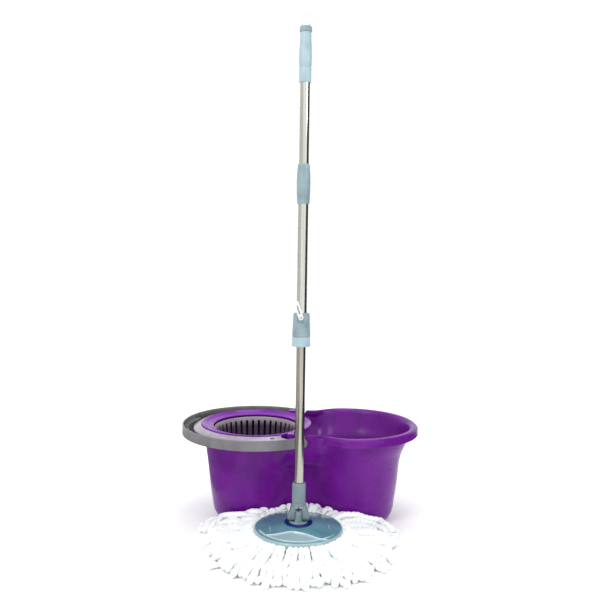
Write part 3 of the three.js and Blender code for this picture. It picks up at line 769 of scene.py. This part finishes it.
def build_handle():
    profile = rounded(
        [
            (150, 170), (150, 188.4), (148.5, 190.1), (GRIP_WALL_R, 188.4), (GRIP_WALL_R, 174.4),
            (129.2, 174.4), (127.4, 181.4), (114.2, 188.1), (112, 187.2), (112, 185), (124.6, 179.4),
            (126.6, 171.8), (147, 171.8), (147.2, 170),
        ],
        [0.8, 1.4, 1.2, 1.2, 1.2, 1.2, 2.5, 1.5, 1, 0.6, 2.5, 1, 0.6, 0.3],
    )
    channel = lathe("channel", profile, BASKET_AT, 168, start=38, end=322)
    waist = upright_block("waist", (-42, -HANDLE_HALF_Y), (200, HANDLE_HALF_Y))
    beyond = upright_block("beyond", (PIVOT_AT[0] + 4, -200), (200, 200))
    finger_slot = rounded(rect(130, 160, 135.8, 200), 0.4)
    grip_slot = lathe("slot", finger_slot, BASKET_AT, 40, start=158, end=202)
    flange_slots = [
        upright_block("flange_slot", (117.2, -3.8), (121.0, 3.8), turned=bearing) for bearing in (-72, 72)
    ]
    carve(channel, "DIFFERENCE", waist, beyond, grip_slot, *flange_slots)
    soften(channel, 0.5, 2, 50)
    pad_line = rounded([(137.2, 173), (137.2, 180.6), (147.2, 180.6), (147.2, 173)], [0, 1.5, 0.5, 0])
    pad = soften(lathe("pad", pad_line, BASKET_AT, 48, start=153, end=207), 0.6, 2, 50)
    ripples = [grip_ripple(depth, span) for depth, span in ((3.4, 12), (6.5, 18), (9.4, 23))]
    skirts = [
        lathe("skirt", rect(r, 163, r + 0.8, 173), BASKET_AT, 44, start=157, end=203) for r in (128.8, 136.0)
    ]
    webs = [
        upright_block("web", (129, -0.5), (136.4, 0.5), 163, 172.6, bearing)
        for bearing in (159, 163, 167, 171, 189, 193, 197, 201)
    ]
    bosses = [
        y_cylinder("boss", BOSS_R, *reach, PIVOT_AT, 1.6)
        for reach in ((HANDLE_HALF_Y, HANDLE_HALF_Y + 6.3), (-HANDLE_HALF_Y - 6.3, -HANDLE_HALF_Y))
    ]
    handle = joined("handle_look", channel, pad, *ripples, *skirts, *webs, *bosses)
    # painted shade: inside the grip's channel, darker towards its floor
    x, y, z = vertices_of(handle).T
    out = np.hypot(x - BASKET_AT[0], y - BASKET_AT[1])
    within = (out > 128.6) & (out < 147.3) & (z > 173.5)
    paint(handle, "channel_painted_shade", within * np.clip((182.4 - z) / 5, 0, 1) * 0.8)
    fit(handle, "handle_plastic", "carry_handle", material=handle_material())
    for node, side in (("pivot_pin_front", -1), ("pivot_pin_back", 1)):
        head = y_cylinder("head", 5.4, *sorted((side * 113.5, side * 115.5)), PIVOT_AT, 0.9)
        shank = y_cylinder("shank", 3, *sorted((side * 98, side * 113.6)), PIVOT_AT, 0.3)
        fit(joined(node + "_look", head, shank), "handle_plastic", node)


# ------------------------ yarn
YARN_R = 5.8
YARN_STEP = 6.0
YARN_ROOT_R = 67.0
YARN_REACH = 176
YARN_TOUCH = 1.86 * YARN_R  # the distance at which two yarns push each other apart
YARN_ROUNDS = 90
YARN_TUB_Z = 14  # the height at which the room before the tub is measured
COVER_CLEAR_Z = 25.6  # as high as a yarn may lie under the cover
SHOULDER_RISE = 3.5  # how much the top layer swells as it leaves the cover
SHOULDER_HELD = 5
YARN_PER_LAYER = 54
YARN_LAYERS = ((25.5, 1.0), (20.0, 0.98), (13.0, 0.94))
DECLARED_YARNS = 40


def yarn_reach(angle):
    """How far the yarn spreads from the mop's axis along a bearing."""
    left, right = max(0.0, -math.cos(angle)), max(0.0, math.cos(angle))
    back = max(0.0, math.sin(angle))
    return (YARN_REACH + 12 * left * left + 7 * right * right) * (1 - 0.14 * back)


def free_room(angle, z):
    """How far a yarn can run from the mop's axis before it meets the tub."""
    for r in range(70, 210, 2):
        if tub_distance(*polar(r, angle, MOP_AT), z) < YARN_R + 1.5:
            return r
    return 400


def yarn_start(angle, z, share, rng):
    """The first shape of one yarn, before it settles: points in the mop's own frame."""
    reach = yarn_reach(angle) * share * rng.uniform(0.9, 1.035) - YARN_R
    room = free_room(angle, YARN_TUB_Z)
    bend = rng.uniform(-0.10, 0.10)
    points = []
    if room > reach:
        for t in np.linspace(0, 1, round((reach - YARN_ROOT_R) * 1.08 / YARN_STEP) + 1):
            r = YARN_ROOT_R + (reach - YARN_ROOT_R) * t
            a = angle + bend * t * t
            height = YARN_R + (z - YARN_R) * (1 - t) ** 1.15 * (1 + 2.3 * t)
            shoulder = SHOULDER_RISE * math.exp(-((r - 90) / 6) ** 2) if z == YARN_LAYERS[0][0] else 0
            points.append((*polar(r, a), height + shoulder))
        return np.array(points)
    side = 1 if math.sin(angle - math.pi / 2) + rng.uniform(-0.35, 0.35) > 0 else -1
    steep = 0.45 if math.cos(angle) < -0.3 else 1.0
    crest = z + rng.uniform(10, 22) * (z / 26) * steep
    for t in np.linspace(0, 1, 9):
        r = YARN_ROOT_R + (room - YARN_ROOT_R) * math.sin(t * math.pi / 2)
        rise = math.sin(math.pi * min(1, t * 1.25)) if t < 0.6 else 1 - (t - 0.6) * 2.2
        height = z + (crest - z) * rise
        points.append((*polar(r, angle), max(YARN_R, height)))
    last = Vector(points[-1])
    a, r = angle, room
    for k in range(rng.randint(7, 11)):
        a += side * YARN_STEP / r
        r = min(free_room(a, YARN_TUB_Z), yarn_reach(a))
        points.append((*polar(r, a), max(YARN_R, last.z - 4 * (k + 1))))
    return np.array(points)


def settle(paths, rounds):
    """Lets the yarns sink, push each other apart and come to rest on the floor, tub and disc."""
    sizes = [len(p) for p in paths]
    place = np.concatenate(paths)
    owner = np.repeat(np.arange(len(paths)), sizes)
    order = np.concatenate([np.arange(n) for n in sizes])
    pinned = order < np.where(owner < YARN_PER_LAYER, SHOULDER_HELD, 2)
    link = np.flatnonzero(np.diff(owner) == 0)
    span = np.flatnonzero(owner[2:] == owner[:-2])
    length = np.linalg.norm(place[link + 1] - place[link], axis=1)
    loose = (~pinned).astype(float)[:, None]
    for step in range(rounds):
        place[:, 2] -= 0.22 * loose[:, 0]
        if step % 6 == 0:
            tree = KDTree(len(place))
            for i, p in enumerate(place):
                tree.insert(p, i)
            tree.balance()
            found = [
                (i, j) for i, p in enumerate(place) for _, j, _ in tree.find_range(p, 2.4 * YARN_R) if j > i
            ]
            pairs = np.array([(i, j) for i, j in found if owner[i] != owner[j] or abs(i - j) > 2])
        away = place[pairs[:, 1]] - place[pairs[:, 0]]
        far = np.maximum(np.linalg.norm(away, axis=1), 1e-6)
        push = np.maximum(0, YARN_TOUCH - far)[:, None] * away / far[:, None] * 0.4
        move, hits = np.zeros_like(place), np.ones(len(place))
        np.add.at(move, pairs[:, 1], push)
        np.add.at(move, pairs[:, 0], -push)
        np.add.at(hits, pairs.ravel(), (far < YARN_TOUCH).repeat(2))
        place += move / np.sqrt(hits)[:, None] * loose
        for ends, rest, stiff in ((1, length, 0.5), (2, None, 0.12)):
            first = link if ends == 1 else span
            line = place[first + ends] - place[first]
            now = np.maximum(np.linalg.norm(line, axis=1), 1e-6)
            want = rest if ends == 1 else np.maximum(now, 1.9 * YARN_STEP)
            fix = ((now - want) / now * stiff)[:, None] * line
            np.add.at(place, first, fix * loose[first])
            np.add.at(place, first + ends, -fix * loose[first + ends])
        clear_of_solids(place, loose)
    return [place[owner == k] for k in range(len(paths))]


def clear_of_solids(place, loose):
    """Moves yarn points out of the floor, the tub's wall and the disc's edge."""
    place[:, 2] = np.maximum(place[:, 2], YARN_R - 0.3)
    x, y, z = place[:, 0] + MOP_AT[0], place[:, 1] + MOP_AT[1], place[:, 2]
    gap = tub_distance(x, y, z) - YARN_R - 0.6
    hit = gap < 0
    if hit.any():
        e = 0.5
        gx = tub_distance(x[hit] + e, y[hit], z[hit]) - tub_distance(x[hit] - e, y[hit], z[hit])
        gy = tub_distance(x[hit], y[hit] + e, z[hit]) - tub_distance(x[hit], y[hit] - e, z[hit])
        size = np.maximum(np.hypot(gx, gy), 1e-6)
        place[hit, 0] -= gap[hit] * gx / size
        place[hit, 1] -= gap[hit] * gy / size
    r = np.hypot(place[:, 0], place[:, 1])
    inside = (r < 84) & (place[:, 2] > COVER_CLEAR_Z) & (loose[:, 0] > 0)
    above = inside & (place[:, 2] > 31)
    place[inside & ~above, 2] = COVER_CLEAR_Z
    place[above, :2] *= (88 / r[above])[:, None]


def resampled(path, step):
    """The path as a smooth line with even steps."""
    doubled = path
    for _ in range(2):
        middle = (doubled[:-1] + doubled[1:]) / 2
        cut = np.empty((2 * len(doubled) - 1, 3))
        cut[0::2], cut[1::2] = doubled, middle
        cut[1:-1] = (cut[:-2] + 2 * cut[1:-1] + cut[2:]) / 4
        doubled = cut
    along = np.concatenate([[0], np.cumsum(np.linalg.norm(np.diff(doubled, axis=0), axis=1))])
    at = np.linspace(0, along[-1], max(8, round(along[-1] / step)))
    return np.stack([np.interp(at, along, doubled[:, k]) for k in range(3)], axis=1)


def yarn_tube(path, rng, around=12, step=1.25):
    """Two twisted plies round a path, with a rounded folded tip: points, faces and groove depths."""
    line = resampled(path, step)
    count = len(line)
    tangent = np.gradient(line, axis=0)
    tangent /= np.linalg.norm(tangent, axis=1)[:, None]
    side = np.cross(tangent, (0, 0, 1.0))
    side /= np.maximum(np.linalg.norm(side, axis=1), 1e-6)[:, None]
    lift = np.cross(side, tangent)
    s = np.arange(count) * step
    left = s[-1] - s
    pitch = rng.uniform(8.0, 9.6)
    phase = rng.uniform(0, 6.3)
    fat = rng.uniform(0.92, 1.06)
    tip = np.sqrt(np.clip(1 - (1 - np.clip(left / 5.2, 0, 1)) ** 2, 0.02, 1))
    knob = 1 + 0.17 * np.exp(-((left - 6) / 4.5) ** 2)
    wave = 1 + 0.04 * np.sin(s / rng.uniform(9, 15) + rng.uniform(0, 6))
    turn = np.arange(around) * 2 * math.pi / around
    psi = turn[None, :] - (2 * math.pi * s / pitch)[:, None] * 0.5 - phase
    ply, apart = 0.85, 0.15
    shape = apart * np.abs(np.cos(psi)) + np.sqrt(ply * ply - (apart * np.sin(psi)) ** 2)
    beads = 1 + 0.012 * np.cos(2 * math.pi * s / (pitch / 2) + phase)
    radius = YARN_R * fat * shape * (tip * knob * wave * beads)[:, None]
    ring = np.cos(turn)[None, :, None] * side[:, None] + np.sin(turn)[None, :, None] * lift[:, None]
    points = (line[:, None] + ring * radius[..., None]).reshape(-1, 3)
    points[:, 2] = np.maximum(points[:, 2], 0.3)
    groove = np.clip((1.0 - shape) / 0.165, 0, 1).reshape(-1)
    i, k = np.meshgrid(np.arange(count - 1), np.arange(around), indexing="ij")
    m = (k + 1) % around
    quads = np.stack([i * around + k, i * around + m, (i + 1) * around + m, (i + 1) * around + k], axis=-1)
    faces = [tuple(q) for q in quads.reshape(-1, 4)]
    faces += [tuple(range(around))[::-1], tuple((count - 1) * around + n for n in range(around))]
    return points, faces, groove, line


def yarn_piece(name, tubes):
    """One piece from the tubes of one or more yarns."""
    points, faces, grooves, start = [], [], [], 0
    for p, f, g, _ in tubes:
        points.append(p)
        faces += [tuple(v + start for v in face) for face in f]
        grooves.append(g)
        start += len(p)
    world = (np.concatenate(points) + (MOP_AT[0], MOP_AT[1], 0)) * MM
    mesh = bpy.data.meshes.new(name)
    mesh.from_pydata(world.tolist(), [], faces)
    mesh.polygons.foreach_set("use_smooth", [True] * len(mesh.polygons))
    piece = linked(name, mesh)
    paint(piece, "groove", np.concatenate(grooves))
    return fit(piece, "yarn", "yarn_skirt")


def build_yarn():
    rng = random.Random(7)
    paths = []
    for layer, (z, share) in enumerate(YARN_LAYERS):
        for k in range(YARN_PER_LAYER):
            angle = (k + layer * 0.5 + rng.uniform(-0.22, 0.22)) * 2 * math.pi / YARN_PER_LAYER
            paths.append(yarn_start(angle, z, share, rng))
    paths = settle(paths, YARN_ROUNDS)
    tubes = [yarn_tube(path, rng) for path in paths]
    reach = [float(np.hypot(line[-1, 0], line[-1, 1])) for *_, line in tubes]
    order = sorted(range(len(tubes)), key=lambda n: -reach[n])
    for number, n in enumerate(order[:DECLARED_YARNS]):
        tube = tubes[n]
        piece = yarn_piece(f"yarn_{number + 1:02d}", [tube])
    rest = order[DECLARED_YARNS:]
    half = len(rest) // 2
    yarn_piece("yarn_rest_a", [tubes[n] for n in rest[:half]])
    yarn_piece("yarn_rest_b", [tubes[n] for n in rest[half:]])


# ------------------------ mop head
DISC_R = 81.5
DISC_BORE_R = 6.4
COVER_UNDER = [
    (DISC_R, 31.5), (81.2, 31.2), (79.5, 31.2), (79.2, 31.6), (79, 34.4), (50, 39.4), (27, 42.4),
    (DISC_BORE_R, 43.4),
]
cover_top = eased([
    (DISC_BORE_R, 46), (18, 45.9), (27, 45.1), (50, 42.2), (72, 39.2), (78, 38), (80.2, 36.6), (DISC_R, 33.5),
])
wave_line = eased([(-62, -47), (-44, -48), (-12, -41.5), (6, -46), (22, -54), (40, -61.5), (56, -58)])


def bead(distance, width):
    """The height share of a rounded ridge at a distance from its middle."""
    return np.clip(1 - (distance / width) ** 2, 0, 1) ** 1.5


def disc_emboss(x, y):
    """The raised lines on the cover: the wave, the arc inside the rim and three short marks."""
    line = wave_line(x)
    slope = wave_line(x + 0.5) - wave_line(x - 0.5)
    off = np.abs(y - line) / np.sqrt(1 + slope * slope)
    ends = np.clip((x + 62) / 8, 0, 1) * np.clip((56 - x) / 10, 0, 1)
    panel = np.clip((line - y) / 3, 0, 1) * ends
    height = 2.6 * bead(off, 3.2) * ends - 0.6 * panel
    r, a = np.hypot(x, y), np.degrees(np.arctan2(y, x))
    arc_ends = np.clip((a + 168) / 14, 0, 1) * np.clip((-26 - a) / 22, 0, 1)
    height = np.maximum(height, 2.0 * bead(np.abs(r - 73.4), 2.3) * arc_ends)
    for centre, tilt, span in ((205, 0.35, 26), (352, -0.3, 24), (38, 0.3, 16)):
        away = (a - centre + 180) % 360 - 180
        off = np.abs(r - (56 + tilt * away))
        height = np.maximum(height, 1.2 * bead(off, 2.2) * np.clip(1 - np.abs(away) / span * 1.8, 0, 1))
    return height


def disc_highlight_and_paleness(x, y):
    """How much paler the cover is painted: painted highlight on its ridges and on the turned-down rim, and a
    paler panel in front of the wave.
    """
    r = np.hypot(x, y)
    raised = np.clip(disc_emboss(x, y) / 2.2, 0, 1)
    ends = np.clip((x + 66) / 14, 0, 1) * np.clip((62 - x) / 20, 0, 1)
    panel = np.clip((wave_line(x) - y) / 3, 0, 1) * ends * (r < 74)
    return np.maximum.reduce([0.95 * raised, 0.42 * panel, 0.5 * np.clip((r - 77.5) / 2, 0, 1)])


def build_disc():
    count = 360
    angles = np.radians(np.arange(count) * 360 / count)
    points = []
    for r in list(np.linspace(DISC_BORE_R, 78, 100)) + [78.8, 79.6, 80.4, 81.0, 81.35, DISC_R]:
        x, y = r * np.cos(angles), r * np.sin(angles)
        fade = min(1, max(0, (79.5 - r) / 2))
        z = float(cover_top(r)) + disc_emboss(x, y) * fade
        points += list(zip(x + MOP_AT[0], y + MOP_AT[1], z))
    for r, z in COVER_UNDER:
        points += [(*polar(r, a, MOP_AT), z) for a in angles]
    cover = mesh_piece("disc_cover_look", points, grid_faces(len(points) // count, count, loop=True), 40)
    x, y, _ = vertices_of(cover).T
    # painted highlight on the ridges and the turned-down rim; the panel in front of the wave is only made
    # paler
    paint(cover, "pale", disc_highlight_and_paleness(x - MOP_AT[0], y - MOP_AT[1]))
    fit(cover, "disc_plastic", "disc_cover")


def build_head():
    build_disc()
    turned_piece(
        "base_plate", "disc_plastic",
        [
            (6.4, 30.8), (6.4, 28), (10, 28), (12, 17), (58, 17), (62, 20), (62, 30.8), (60, 30.8), (60, 20),
            (14, 19.2), (12.4, 30.8),
        ],
        0.8,
    )
    turned_piece("refill_ring", "white_plastic", rect(62.5, 24, 74, 29.5), 1.2)
    turned_piece(
        "swivel_ring", "deep_blue_plastic",
        [(18.4, 46.2), (25.5, 45.7), (25.5, 47.4), (24, 48.5), (19.4, 48.5), (18.4, 47.6)],
        [0.3, 0.3, 0.8, 0.8, 0.5, 0.3],
    )


def build_yoke():
    """The tongue on its round foot, which the fork straddles."""
    foot_line = [(0, 46.6), (17.6, 46.6), (17.6, 48.3), (16, 49), (0, 49)]
    foot = lathe("foot", rounded(foot_line, [0, 0.4, 0.6, 0.6, 0], False), MOP_AT, 72, False)
    outline = [(-8, 48), (8, 48), (8, TILT_Z)] + arc(8, 8, 172, 22, 0, TILT_Z) + [(-8, TILT_Z)]
    tongue = pulled("tongue", outline, -6.3, 6.3, "x", MOP_FOOT, bevel=0.9)
    carve(tongue, "DIFFERENCE", pulled("slit", rect(-1, 66.8, 1, 75), -12, 12, "y", MOP_FOOT))
    fit(joined("yoke_look", foot, tongue), "grey_blue_plastic", "swivel_yoke")


def build_fork():
    """Socket above, with a bell below it that flares into two legs about the tongue."""
    half = eased([(48, 20.4), (54, 20.0), (60, 18.4), (66, 16.4), (73, 14.2), (79.6, 12.3)])
    right = [(float(half(z)), z) for z in np.linspace(48, 79.6, 16)]
    bell = pulled("bell", right + [(-w, z) for w, z in reversed(right)], -11.4, 11.4, "y", MOP_FOOT)
    foot = 12.6
    outline = [(-foot, 95), (-foot, TILT_Z)] + arc(foot, 180, 360, 28, 0, TILT_Z)[1:] + [(foot, 95)]
    carve(bell, "INTERSECT", pulled("round", outline, -30, 30, "x", MOP_FOOT))
    gap = [(-6.9, 40), (6.9, 40), (6.9, 71.4)] + arc(6.9, 0, 180, 16, 0, 71.4)[1:-1] + [(-6.9, 71.4)]
    carve(bell, "DIFFERENCE", pulled("gap", gap, -20, 20, "y", MOP_FOOT))
    soften(bell, 1.1, 3, 40)
    profile = rounded(
        [
            (0, 77), (11.8, 77), (12.4, 79.6), (11.5, 82.2), (12.4, 85.4), (12.35, 116), (10.7, 120),
            (8.8, 120), (8.8, 109), (0, 109),
        ],
        [0, 1, 1.4, 1.4, 1.2, 2, 0.8, 0.4, 0, 0], False,
    )
    socket = lathe("socket", profile, MOP_AT, 72, False)
    fit(joined("fork_look", bell, socket), "grey_blue_plastic", "socket_fork", material=FORK_GREY)


# ------------------------ pole
LEVER_AT = (MOP_AT[0] - 1, 420.5)
LEVER_Y = (MOP_AT[1] - 16, MOP_AT[1] - 12)
LEVER_LEAN = 19.0
TUBE_WALL = 0.55


def build_tubes():
    for node, radius, low, high, metal in (
        ("inner_tube", 8.5, 92.5, 417, INNER_TUBE),
        ("lower_outer_tube", 9.5, 386.5, 652.5, None),
        ("upper_outer_tube", 9, 658.8, 912, None),
    ):
        turned_piece(node, "steel_tube", rect(radius - TUBE_WALL, low, radius, high), 0.2, material=metal)


def build_collar():
    profile = rounded(
        [(9.8, 386), (16.2, 386), (16.35, 388.4), (15.6, 404), (14.8, 424), (14, 428), (9.8, 428)],
        [0.4, 0.8, 2, 6, 6, 1.4, 0.6],
    )
    collar = lathe("collar_look", profile, MOP_AT, 96)
    recess = pulled("recess", rounded(rect(-7.5, 411, 7.5, 440), [2, 2, 0, 0]), -20, -11.7, "y", MOP_FOOT)
    slot = pulled("slot", rounded(rect(7.2, 404, 9.4, 426), 1), -20, -11.7, "y", MOP_FOOT)
    carve(collar, "DIFFERENCE", recess, slot)
    soften(collar, 0.5, 2, 45)
    fit(collar, "grey_blue_plastic", "lock_collar")
    turned_piece(
        "collar_ring", "pale_blue_plastic",
        [
            (9, 368.4), (16.2, 368.4), (16.9, 370), (16.3, 374.4), (16.1, 385.7), (12.4, 385.7),
            (12.4, 371.4), (9, 371.4),
        ],
        [0.3, 0.8, 1.2, 3, 0.7, 0.3, 0.3, 0.3],
    )
    head = y_cylinder("pin_head", 2.4, MOP_AT[1] - 17.7, MOP_AT[1] - 16.3, LEVER_AT, 0.5)
    shank = y_cylinder("pin", 1.45, MOP_AT[1] - 16.6, MOP_AT[1] - 10.8, LEVER_AT, 0.2)
    fit(joined("lever_pin_look", head, shank), "pin_steel", "lever_pin")


def build_lever():
    """The white clamp lever: a flat link with a long window, leaning off upright."""
    near, far = LEVER_Y
    body = pulled("lever_look", arc(4.4, 180, 360, 18) + arc(4.4, 0, 180, 18, 0, 27), near, far)
    window = pulled("window", arc(1.7, 180, 360, 12, 0, 8) + arc(1.7, 0, 180, 12, 0, 22), near - 5, far + 5)
    eye = pulled("eye", arc(1.75, 0, 345, 23), near - 5, far + 5)
    carve(body, "DIFFERENCE", window, eye)
    soften(body, 0.8, 3, 45)
    fit(moved(body, (LEVER_AT[0], 0, LEVER_AT[1]), -LEVER_LEAN, "Y"), "white_plastic", "lock_lever")


def build_coupler():
    turned_piece(
        "mid_coupler", "grey_blue_plastic",
        [
            (9.8, 620.8), (10.6, 620.8), (11.3, 624), (11.8, 634), (12.25, 648), (12.35, 658), (12.1, 668),
            (11.4, 680), (10.8, 687), (10.2, 690.7), (9.3, 690.7), (9.3, 658.4), (9.8, 652.8),
        ],
        [0.3, 0.8, 4, 8, 8, 8, 8, 8, 4, 1, 0.3, 0.3, 0.3],
    )


def build_grip():
    turned_piece(
        "grip_sleeve", "pale_blue_plastic",
        [
            (9.3, 831), (10.4, 831), (10.9, 833.4), (10.95, 845), (10.85, 855.4), (10.2, 856.4),
            (10.2, 857.6), (10.85, 858.6), (11.2, 868), (11.5, 880), (10.9, 892), (10.05, 904),
            (9.8, 913), (9.9, 916.8), (9.3, 916.8),
        ],
        [0.3, 0.8, 2, 6, 1, 0.3, 0.3, 1, 8, 12, 12, 12, 4, 0.3, 0.3],
    )
    turned_piece(
        "grip_cap", "grey_blue_plastic",
        [
            (0, 900), (8, 900), (8, 917.1), (10.4, 917.1), (11.1, 918.6), (11.1, 922.2), (10.7, 922.8),
            (11, 923.4), (10.9, 925.2), (9.6, 927), (3.4, 927), (3.4, 912), (0, 912),
        ],
        [0, 0.5, 0.2, 0.6, 0.6, 0.3, 0.3, 0.3, 0.8, 0.8, 0.3, 0, 0],
        closed=False,
    )


def build_loop():
    """The white hanging ring with its oval eye, on a short swivel stem."""
    outline = [(13 * c, 941.3 + 13.6 * s) for c, s in arc(1, 0, 354, 59)]
    opening = [(5.6 * c, 942.1 + 4.6 * s) for c, s in arc(1, 0, 350, 35)]
    ring = pulled("ring", outline, -3.3, 3.3, "y", MOP_FOOT)
    eye = pulled("eye", opening, -8, 8, "y", MOP_FOOT)
    clear = pulled("clear", rect(-20, 900, 20, 928.6), -9, 9, "y", MOP_FOOT)
    carve(ring, "DIFFERENCE", eye, clear)
    soften(ring, 1.9, 4, 45)
    stem_line = [(0, 911), (3, 911), (3, 927.4), (6.4, 927.4), (6, 929.8), (0, 929.8)]
    stem = lathe("stem", rounded(stem_line, [0, 0.5, 0.2, 0.6, 0.8, 0], False), MOP_AT, 48, False)
    fit(joined("loop_look", ring, stem), "white_plastic", "hanging_loop")


# ------------------------ what stays as the CAD has it
KEPT = {
    "pin_steel": ("basket_axle", "axle_clip", "swivel_bolt", "tilt_pin", "twist_rod"),
    "bush_plastic": (
        "thrust_washer", "basket_bush", "nut_housing", "nut_cap", "clutch_nut", "rod_anchor", "tube_bush"
    ),
}


def finish_kept():
    for slot, nodes in KEPT.items():
        for node in nodes:
            for material_slot in frame["nodes"][node].material_slots:
                material_slot.material = MATERIALS[slot]


# ------------------------ studio
FLOOR_HALF = 8000
FLOOR_Z = -0.4


def area_light(name, at, aim, width, height, power):
    data = bpy.data.lights.new(name, "AREA")
    data.shape = "RECTANGLE"
    data.size, data.size_y = width, height
    data.energy = power
    light = linked(name, data)
    light.location = at
    light.rotation_euler = (Vector(aim) - Vector(at)).to_track_quat("-Z", "Y").to_euler()


def reflection_card(name, corners, tone):
    """A flat card that is seen only in the gloss of the object."""
    card = mesh_piece(name, corners, [(0, 1, 2, 3)])
    material, _, shader = blank(name, tone, 0.9)
    set_inputs(shader, Specular_IOR_Level=0)
    card.data.materials.append(material)
    card.visible_camera = False
    card.visible_diffuse = False
    card.visible_shadow = False


def upright(near, far):
    """The corners of a card that stands on the floor along a line."""
    height = 1700
    return [(*near, 0), (*far, 0), (*far, height), (*near, height)]


def level(x0, x1, y0, y1, z=2):
    """The corners of a card, or of the floor, that lies flat."""
    return [(x, y, z) for x, y in rect(x0, y0, x1, y1)]


def build_floor():
    material, tree, shader = blank("floor_pale", (0.95, 0.95, 0.95), 0.9)
    tone = ramp(tree, noise(tree, 3, 2), (0.945, 0.945, 0.945), (0.96, 0.96, 0.96), 0.4, 0.6)
    set_inputs(shader, Base_Color=tone, Specular_IOR_Level=0.1)
    corners = level(-FLOOR_HALF, FLOOR_HALF, -FLOOR_HALF, FLOOR_HALF, FLOOR_Z)
    floor = mesh_piece("floor", corners, [(0, 1, 2, 3)])
    floor.data.materials.append(material)


def build_studio():
    scene = bpy.context.scene
    scene.view_settings.view_transform = "Standard"
    scene.view_settings.look = "None"
    scene.world = bpy.data.worlds.new("studio")
    scene.world.use_nodes = True
    set_inputs(scene.world.node_tree.nodes["Background"], Color=(1, 1, 1, 1), Strength=1.08)
    build_floor()
    reflection_card("card_left", upright((-690, -1150), (-1000, 500)), (0.5, 0.5, 0.45))
    reflection_card("card_right", upright((950, -710), (800, 600)), (0.035, 0.045, 0.04))
    reflection_card("card_low_left", level(-1600, -280, -1400, 600), (0.24, 0.24, 0.2))
    reflection_card("card_low_right", level(450, 1600, -900, 600), (0.05, 0.055, 0.05))
    area_light("key", (-1.1, -1.5, 1.9), (0, 0, 0.25), 0.7, 0.5, 16)
    area_light("fill", (1.5, -1.2, 1.3), (0, 0, 0.3), 0.4, 0.4, 5)
    area_light("top", (0.2, 0.3, 2.2), (0, 0, 0.2), 1.0, 1.0, 8)


build_yarn()
build_tub()
build_ring()
build_basket()
build_handle()
build_head()
build_yoke()
build_fork()
build_tubes()
build_collar()
build_lever()
build_coupler()
build_grip()
build_loop()
finish_kept()
build_studio()
